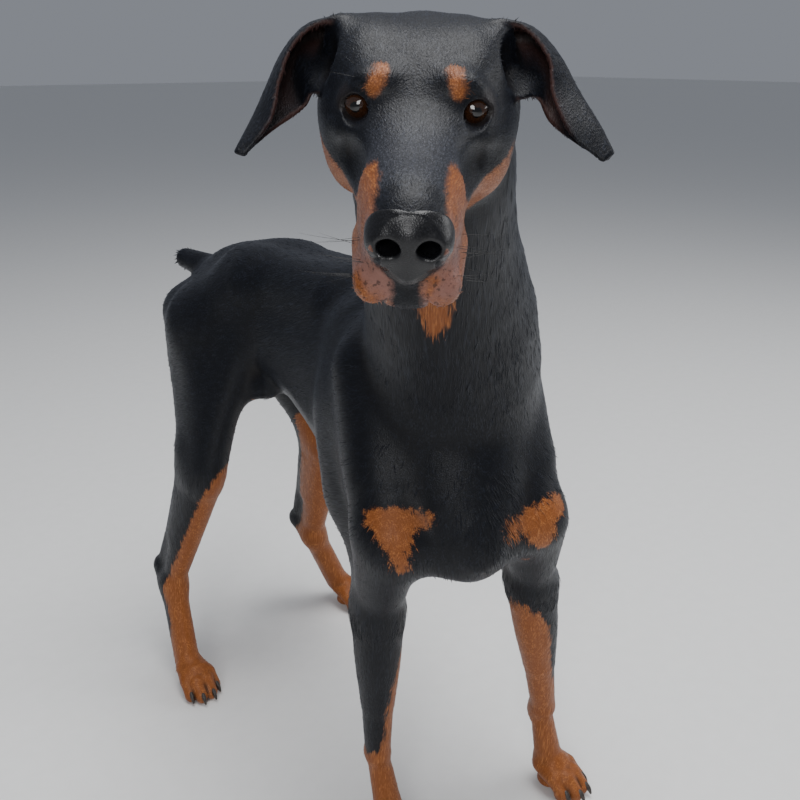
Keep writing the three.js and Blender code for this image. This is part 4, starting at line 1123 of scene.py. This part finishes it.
def coatMaterial(name):
    material, tree = materialOf(name)
    look = coatLook
    where = objectPlace(tree)
    fine = streaks(tree, where, look["strandAcross"], look["strandAlong"])
    coarse = streaks(tree, where, look["strandAcross"] * 5, look["strandAlong"] * 2.2)
    patchy = noise(tree, where, 60, 3)
    light = times(tree, ramp(tree, fine, 0.42, 0.72), plus(tree, ramp(tree, coarse, 0.35, 0.7), 0.25))
    light = plus(tree, light, times(tree, held(tree, "tip"), 0.3))
    black = blend(tree, light, look["black"], look["blackTip"])
    # muzzle top and crown paled, with speckle, towards dust-grey and painted sheen
    speck = ramp(tree, noise(tree, where, 900, 1), 0.5, 0.66)
    pale = plus(tree, times(tree, speck, 0.6), times(tree, fine, 0.55))
    black = blend(tree, times(tree, held(tree, "dustAndSheen"), pale), black, look["sheenAndDustColour"])
    rust = blend(tree, light, look["rust"], look["rustTip"])
    salmon = times(tree, held(tree, "pink"), ramp(tree, patchy, 0.3, 0.62))
    rust = blend(tree, salmon, rust, look["salmon"])
    spots = times(tree, held(tree, "pink"), ramp(tree, noise(tree, where, 420, 2), 0.56, 0.68))
    rust = blend(tree, times(tree, spots, 0.7), rust, look["spot"])
    uneven = plus(tree, times(tree, coarse, 16), times(tree, fine, 10))
    loose = between(tree, held(tree, "onHead"), 0, 1, 1, 0.3)
    edge = plus(tree, held(tree, "tan"), times(tree, plus(tree, uneven, 13, "SUBTRACT"), loose))
    colour = blend(tree, ramp(tree, edge, -2.6, 2.6), black, rust)
    # bare skin inside the ears and dark lid rims are their own colour; the creases get painted shade
    for layer, most, over in (("bare", 0.8, "skin"), ("lidRim", 0.9, "lidRim"), ("paintedShade", 0.75, "paintedShadeColour")):
        colour = blend(tree, times(tree, held(tree, layer), most), colour, look[over])
    height = plus(tree, fine, times(tree, coarse, 0.8))
    return finished(material, {
        "Base Color": colour,
        "Roughness": between(tree, fine, 0.3, 0.7, 0.5, 0.36),
        "Specular IOR Level": 0.2,
        "Sheen Weight": 0.03,
        "Sheen Roughness": 0.42,
        "Sheen Tint": (0.62, 0.7, 0.9, 1),
        "Normal": bump(tree, height, look["bump"], 0.75),
    })


coatFinish = coatMaterial("coat")
skin.data.materials.append(coatFinish)


def noseMaterial():
    material, tree = materialOf("noseLeather")
    where = objectPlace(tree)
    cells = node(tree, "TexVoronoi", Vector=where, Scale=760, feature="DISTANCE_TO_EDGE").outputs["Distance"]
    pebble = ramp(tree, cells, 0.0, 0.32)
    return finished(material, {
        "Base Color": blend(tree, pebble, (0.0025, 0.0025, 0.003), (0.0095, 0.0095, 0.012)),
        "Roughness": between(tree, noise(tree, where, 130), 0.3, 0.7, 0.24, 0.42),
        "Normal": bump(tree, pebble, 0.0002, 0.3),
        "Specular IOR Level": 0.4,
        "Coat Weight": 0.05,
        "Coat Roughness": 0.22,
    })


irisRings = [  # angles from the gaze between which a colour comes in: the outer iris, its rim and the pupil
    (14, 26, (0.03, 0.011, 0.004)), (30, 41, (0.006, 0.003, 0.002)), (15.5, 13, (0.0008, 0.0008, 0.001)),
]


def eyeMaterial():
    material, tree = materialOf("eye")
    angle, where = held(tree, "fromGaze"), objectPlace(tree)
    fibres = noise(tree, where, 1500, 3)
    iris = blend(tree, ramp(tree, fibres, 0.35, 0.65), (0.012, 0.0045, 0.002), (0.045, 0.017, 0.006))
    for start, end, colour in irisRings:
        iris = blend(tree, ramp(tree, angle, start, end), iris, colour)
    veins = ramp(tree, noise(tree, where, 300, 3), 0.45, 0.7)
    white = blend(tree, veins, (0.06, 0.035, 0.028), (0.03, 0.012, 0.01))
    return finished(material, {
        "Base Color": blend(tree, ramp(tree, angle, 43, 47), iris, white),
        "Roughness": between(tree, noise(tree, where, 200), 0.3, 0.7, 0.03, 0.07),
        "Specular IOR Level": 0.7,
    })


def clawMaterial():
    material, tree = materialOf("claw")
    size = (0.0009, 0.0009, 0.005)
    grain = node(tree, "Mapping", objectPlace(tree), None, None, size, vector_type="TEXTURE").outputs[0]
    lines = noise(tree, grain, 1, 3)
    return finished(material, {
        "Base Color": blend(tree, ramp(tree, lines, 0.35, 0.7), (0.009, 0.007, 0.006), (0.055, 0.04, 0.032)),
        "Roughness": between(tree, lines, 0.3, 0.7, 0.32, 0.5),
        "Normal": bump(tree, lines, 0.0002, 0.5),
    })


def whiskerMaterial():
    material, tree = materialOf("whisker")
    tint = noise(tree, objectPlace(tree), 200)
    return finished(material, {
        "Base Color": blend(tree, tint, (0.004, 0.004, 0.004), (0.016, 0.014, 0.013)),
        "Roughness": 0.42,
    })


leather.data.materials.append(noseMaterial())
eyeLook, clawLook = eyeMaterial(), clawMaterial()
for piece in eyes:
    piece.data.materials.append(eyeLook)
for piece, name in claws:
    piece.data.materials.append(clawLook)
print("materials made")


# An unwrap of the skin for the tufts: one chart for each stretch, by the angle about its middle line and the
# length along it. Each tuft keeps a small patch of it at its root's place.
charts = [  # a point on the middle line, its direction, and where the chart stands
    [fromHead([0, 0, -20]), headAxes[:, 1], 0.0, 0.0],  # head
    [vec(-80, -338, 700), lies["neck"], 0.25, 0.0],
    [vec(10, -60, 530), vec(0, 1, 0), 0.5, 0.0],  # trunk
    [vec(-66, -228, 200), vec(0, 0, 1), 0.0, 0.34],  # forelegs, right and left
    [vec(130, -280, 200), vec(0, 0, 1), 0.25, 0.34],
    [vec(-118, 200, 200), vec(0, 0, 1), 0.5, 0.34],  # hind legs, right and left
    [vec(115, 210, 200), vec(0, 0, 1), 0.75, 0.34],
]
chartSize = {"wide": 0.23, "high": 0.3, "reach": 420}


def unwrapped(p):
    main = np.argmax(list(stretches(p).values()), axis=0)
    leg = 3 + (p[:, 0] > 20) + 2 * (p[:, 1] > 0)
    chart = np.where((main == 3) & (p[:, 2] < 700), leg, np.where(main == 3, 0, main))
    uv = np.zeros((len(p), 2))
    for n, (middle, way, u0, v0) in enumerate(charts):
        pick = chart == n
        side = sideOf(way, [0.31, 0.17, 0.93])
        q = p[pick] - middle
        turn = np.arctan2(q @ np.cross(way, side), q @ side) / (2 * np.pi) + 0.5
        far = np.clip((q @ way + chartSize["reach"]) / (2 * chartSize["reach"]), 0, 1)
        uv[pick] = np.stack([u0 + 0.01 + turn * chartSize["wide"], v0 + 0.02 + far * chartSize["high"]], 1)
    return uv


tuftKinds = [  # sizes in millimetres; spread is how much of the hair grows away from the edges in edgeZones
    {"name": "bodyCoat", "count": 15000, "length": 11, "width": 0.95, "lift": 0.32, "seed": 3, "spread": 0.3,
     "where": lambda p, at, n: (aboveNeck(p) < -6) * (p[:, 2] > 330)},
    {"name": "legCoat", "count": 7000, "length": 7, "width": 0.9, "lift": 0.28, "seed": 5, "spread": 0.5,
     "where": lambda p, at, n: (p[:, 2] < 345) * (p[:, 2] > 34) * (n[:, 2] > -0.8)},
    {"name": "headCoat", "count": 9000, "length": 4.5, "width": 0.5, "lift": 0.11, "seed": 7, "spread": 1,
     "where": lambda p, at, n: (aboveNeck(p) > -8) * (outsideNose(p) > 5) * (np.abs(at[:, 0]) < 62)
     * np.min([np.linalg.norm(at - eyeAt(s), axis=1) > 18 for s in (-1, 1)], axis=0)},
    {"name": "earCoat", "count": 3000, "length": 3.4, "width": 0.55, "lift": 0.12, "seed": 9, "spread": 1,
     "where": lambda p, at, n: (aboveNeck(p) > 0) * (np.abs(at[:, 0]) > 60) * (at[:, 2] > -22)},
]
edgeZones = [  # the coat stands out more here: place, reach, how much longer
    (bend([0, 300, 560]), 60, 1.5), (bend([-56, 250, 500]), 70, 1.4), (bend([56, 250, 500]), 70, 1.4),
    (vec(-24, -385, 500), 60, 1.4), (vec(-60, -372, 620), 80, 1.3), (bend([0, -100, 390]), 90, 1.3),
    (foreJoints["right"]["elbow"], 50, 1.3), (foreJoints["left"]["elbow"], 50, 1.3), (tailTip, 30, 1.2),
]
bladePoints = [  # across, along and out of the skin: root, middle and tip
    [-0.4, 0, -0.6], [0.4, 0, -0.6], [0, 0, 0],
    [-0.5, 0.45, 0.45], [0.5, 0.45, 0.45], [0, 0.45, 0.95], [0, 1, 1],
]
bladeFaces = [
    [0, 2, 1], [0, 4, 3], [0, 1, 4], [1, 5, 4], [1, 2, 5],
    [2, 3, 5], [2, 0, 3], [3, 4, 6], [4, 5, 6], [5, 3, 6],
]
bladePatch = np.array([[-1, -1], [1, -1], [0, -1], [-1, 0], [1, 0], [0, 0.2], [0, 1]]) * 0.0015


def tuftTree():
    tree = bpy.data.node_groups.new("tufts", "GeometryNodeTree")
    sockets = {}
    for name, kind in (("Geometry", "Geometry"), ("Blade", "Object"), ("Length", "Float"), ("Width", "Float"),
                       ("Lift", "Float"), ("Seed", "Int"), ("Finish", "Material")):
        made = tree.interface.new_socket(name, in_out="INPUT", socket_type="NodeSocket" + kind)
        sockets[name] = made.identifier
    tree.interface.new_socket("Geometry", in_out="OUTPUT", socket_type="NodeSocketGeometry")

    def step(kind, inputs=None, **settings):
        made = tree.nodes.new(kind)
        for key, value in settings.items():
            setattr(made, key, value)
        feed(tree, made.inputs, (inputs or {}).items())
        return made

    def kept(name, kind="FLOAT_VECTOR"):
        return step("GeometryNodeInputNamedAttribute", {"Name": name}, data_type=kind).outputs["Attribute"]

    given = step("NodeGroupInput").outputs
    varied = []
    for low, high in ((0.65, 1.3), (0.7, 1.3), (0.4, 1.4)):
        made = step("FunctionNodeRandomValue", {2: low, 3: high, "Seed": given["Seed"]}, data_type="FLOAT")
        varied.append(made.outputs[1])
    longer = kept("longer", "FLOAT")
    size = step("ShaderNodeCombineXYZ", {
        0: times(tree, given["Width"], varied[1]),
        1: times(tree, times(tree, given["Length"], varied[0]), longer),
        2: times(tree, times(tree, given["Lift"], varied[2]), longer),
    })
    upright = step("FunctionNodeAlignRotationToVector", {"Vector": kept("outOfSkin")}, axis="Z")
    turns = {"Rotation": upright.outputs[0], "Vector": kept("lieOfHair")}
    laid = step("FunctionNodeAlignRotationToVector", turns, axis="Y", pivot_axis="Z")
    blade = step("GeometryNodeObjectInfo", {"Object": given["Blade"]})
    roots = step("GeometryNodeMeshToPoints", {"Mesh": given["Geometry"]})
    placing = step("GeometryNodeInstanceOnPoints", {
        "Points": roots.outputs[0],
        "Instance": blade.outputs["Geometry"],
        "Rotation": laid.outputs[0],
        "Scale": size.outputs[0],
    })
    real = step("GeometryNodeRealizeInstances", {0: placing.outputs[0]})
    finish = step("GeometryNodeSetMaterial", {"Geometry": real.outputs[0], "Material": given["Finish"]})
    step("NodeGroupOutput", {0: finish.outputs[0]})
    return tree, sockets


def rootsOf(kind):
    rng = np.random.default_rng(kind["seed"])
    a, b, c = (skinPoints[skinFaces[:, k]] for k in range(3))
    middle, across = (a + b + c) / 3, np.cross(b - a, c - a)
    area = np.linalg.norm(across, axis=1)
    longer = np.max([1 + (more - 1) * (1 - smooth(np.linalg.norm(middle - place, axis=1), 0.5 * r, r))
                     for place, r, more in edgeZones], axis=0)
    weight = area * kind["where"](middle, toHead(middle), across / np.maximum(area, 1e-9)[:, None])
    weight = weight * (kind["spread"] + 3 * (longer - 1))
    face = rng.choice(len(skinFaces), kind["count"], p=weight / weight.sum())
    w = rng.dirichlet([1, 1, 1], len(face))[:, :, None]
    root = (np.stack([a[face], b[face], c[face]], 1) * w).sum(1)
    n = (skinNormals[skinFaces[face]] * w).sum(1)
    n /= np.linalg.norm(n, axis=1)[:, None]
    way = lieAt(root, n)
    turn = rng.normal(0, 0.16, (len(face), 1))
    return root, n, way * np.cos(turn) + np.cross(n, way) * np.sin(turn), longer[face]


def growTufts(kind, blade, tree, sockets, finish):
    root, n, way, longer = rootsOf(kind)
    seeds = meshOf(kind["name"] + "Roots", root, np.zeros((0, 3), int))
    giveLooks(seeds, root, n)
    # the tufts carry no painted crease shade
    put(seeds, "paintedShade", np.zeros(len(root)))
    put(seeds, "longer", longer)
    put(seeds, "outOfSkin", n, "FLOAT_VECTOR")
    put(seeds, "lieOfHair", way, "FLOAT_VECTOR")
    growth = seeds.modifiers.new("tufts", "NODES")
    growth.node_group = tree
    for name in ("length", "width", "lift"):
        growth[sockets[name.title()]] = kind[name] / 1000
    for name, value in (("Blade", blade), ("Seed", kind["seed"]), ("Finish", finish)):
        growth[sockets[name]] = value
    depsgraph = bpy.context.evaluated_depsgraph_get()
    grown = seeds.evaluated_get(depsgraph)
    mesh = bpy.data.meshes.new_from_object(grown, preserve_all_data_layers=True, depsgraph=depsgraph)
    bpy.data.objects.remove(seeds)
    mesh.name = kind["name"]
    piece = linked(kind["name"], mesh)
    uv = (unwrapped(root)[:, None] + bladePatch).reshape(-1, 2)
    corner = np.empty(len(mesh.loops), np.int32)
    mesh.loops.foreach_get("vertex_index", corner)
    mesh.uv_layers.new(name="OFBake").data.foreach_set("uv", uv[corner].astype(np.float32).ravel())
    return piece


def allTufts(finish):
    mesh = bpy.data.meshes.new("blade")
    mesh.from_pydata(bladePoints, [], bladeFaces)
    blade = bpy.data.objects.new("blade", mesh)
    put(blade, "tip", [0, 0, 0, 0.5, 0.5, 0.5, 1])
    tree, sockets = tuftTree()
    made = [growTufts(kind, blade, tree, sockets, finish) for kind in tuftKinds]
    bpy.data.objects.remove(blade)
    return made


coat = allTufts(coatFinish)
print("tufts", sum(len(piece.data.polygons) for piece in coat))


# Whiskers: a few thin bent hairs on the lips and above the eyes
whiskers = {"perSide": 11, "length": 30, "thick": 0.16, "sides": 5, "rings": 9, "seed": 12}


def whiskerTube(root, out, back, length, start):
    side = unit(np.cross(out, back))
    across = np.cross(out, side)
    n, rings = whiskers["sides"], whiskers["rings"]
    turns = 2 * np.pi * np.arange(n) / n
    points, faces = [], []
    for i in range(rings):
        t = i / (rings - 1)
        centre = root + out * (t * length - 0.8) + back * t * t * length * 0.35
        r = whiskers["thick"] * (1 - 0.85 * t)
        points += [centre + r * (math.cos(a) * side + math.sin(a) * across) for a in turns]
        a = start + (i - 1) * n
        for j in range(n if i else 0):  # a ring of faces back to the ring before
            m = (j + 1) % n
            faces += [[a + j, a + m, a + n + m], [a + j, a + n + m, a + n + j]]
    last = start + (rings - 1) * n
    for j in range(1, n - 1):
        faces += [[start, start + j + 1, start + j], [last, last + j, last + j + 1]]
    return points, faces


def whiskerPiece():
    rng = np.random.default_rng(whiskers["seed"])
    at = toHead(skinPoints)
    back = headAxes @ vec(0, 1, -0.3)
    points, faces = [], []
    for s in (-1, 1):
        lips = (at[:, 0] * s > 18) & (at[:, 1] < -60) & (at[:, 1] > -100)
        lips = lips & (at[:, 2] < -46) & (at[:, 2] > -72)
        brow = np.linalg.norm(at - eyeAt(s) - vec(0, -3, 17), axis=1) < 9
        for place, count, size in ((lips, whiskers["perSide"], 1), (brow, 2, 0.6)):
            for k in rng.choice(np.nonzero(place)[0], count, replace=False):
                out = unit(skinNormals[k] + headAxes @ vec(s * 0.5, 0.1, -0.15) + rng.normal(0, 0.12, 3))
                length = whiskers["length"] * size * rng.uniform(0.6, 1.2)
                more, moreFaces = whiskerTube(skinPoints[k], out, back, length, len(points))
                points, faces = points + more, faces + moreFaces
    return meshOf("whiskers", np.array(points), np.array(faces))


whiskerHairs = whiskerPiece()
whiskerHairs.data.materials.append(whiskerMaterial())


# What each piece stands for
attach(skin, "root")
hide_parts("torso", "neck", "tail", "head", "ear_right", "ear_left",
            *[f"{part}_{side}" for part in ("foreleg", "hindleg", "forepaw", "hindpaw") for side in ("right", "left")])
for piece in coat + [whiskerHairs]:
    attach(piece, "root")
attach(leather, "root")
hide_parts("nose")
for piece, side in zip(eyes, ("right", "left")):
    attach(piece, "root")
    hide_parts("eye_" + side)
for piece, claw in claws:
    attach(piece, "root")
    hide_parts(claw)


# Camera, floor and soft studio light
view = {"eye": vec(-531, -917, 900), "turn": 35.5, "down": 21, "lens": 40.5}
camera = linked("camera", bpy.data.cameras.new("camera"))
camera.data.lens = view["lens"]
camera.data.sensor_width = 36
camera.location = placed(view["eye"])
turn, down = math.radians(view["turn"]), math.radians(view["down"])
ahead = Vector((math.sin(turn) * math.cos(down), math.cos(turn) * math.cos(down), -math.sin(down)))
camera.rotation_euler = ahead.to_track_quat("-Z", "Y").to_euler()
bpy.context.scene.camera = camera

floorMesh = bpy.data.meshes.new("floor")
floorMesh.from_pydata([(-30, -30, 0), (30, -30, 0), (30, 30, 0), (-30, 30, 0)], [], [(0, 1, 2, 3)])
floor = linked("floor", floorMesh)
floorMaterial, floorTree = materialOf("floor")
grit = noise(floorTree, objectPlace(floorTree), 40, 4)
concrete = blend(floorTree, grit, (0.76, 0.76, 0.75), (0.82, 0.82, 0.81))
floorMesh.materials.append(finished(floorMaterial, {"Base Color": concrete, "Roughness": 0.7}))


def lamp(name, place, aim, size, power):
    light = bpy.data.lights.new(name, "AREA")
    light.shape = "RECTANGLE"
    light.size, light.size_y = size
    light.energy = power
    holder = linked(name, light)
    holder.location = place
    holder.rotation_euler = (Vector(aim) - Vector(place)).to_track_quat("-Z", "Y").to_euler()


lamp("overhead", (0.2, -0.3, 3.2), (0, 0, 0.5), (2.2, 2.2), 105)
lamp("front", (-2.2, -2.6, 1.9), (0, -0.1, 0.55), (1.3, 1.3), 52)
lamp("side", (2.8, -1.2, 1.6), (0, 0, 0.5), (1.6, 1.6), 22)
world = bpy.data.worlds.new("studio")
bpy.context.scene.world = world
world.use_nodes = True
sky = {"Color": (0.82, 0.87, 0.98, 1), "Strength": 0.28}
feed(world.node_tree, world.node_tree.nodes["Background"].inputs, sky.items())
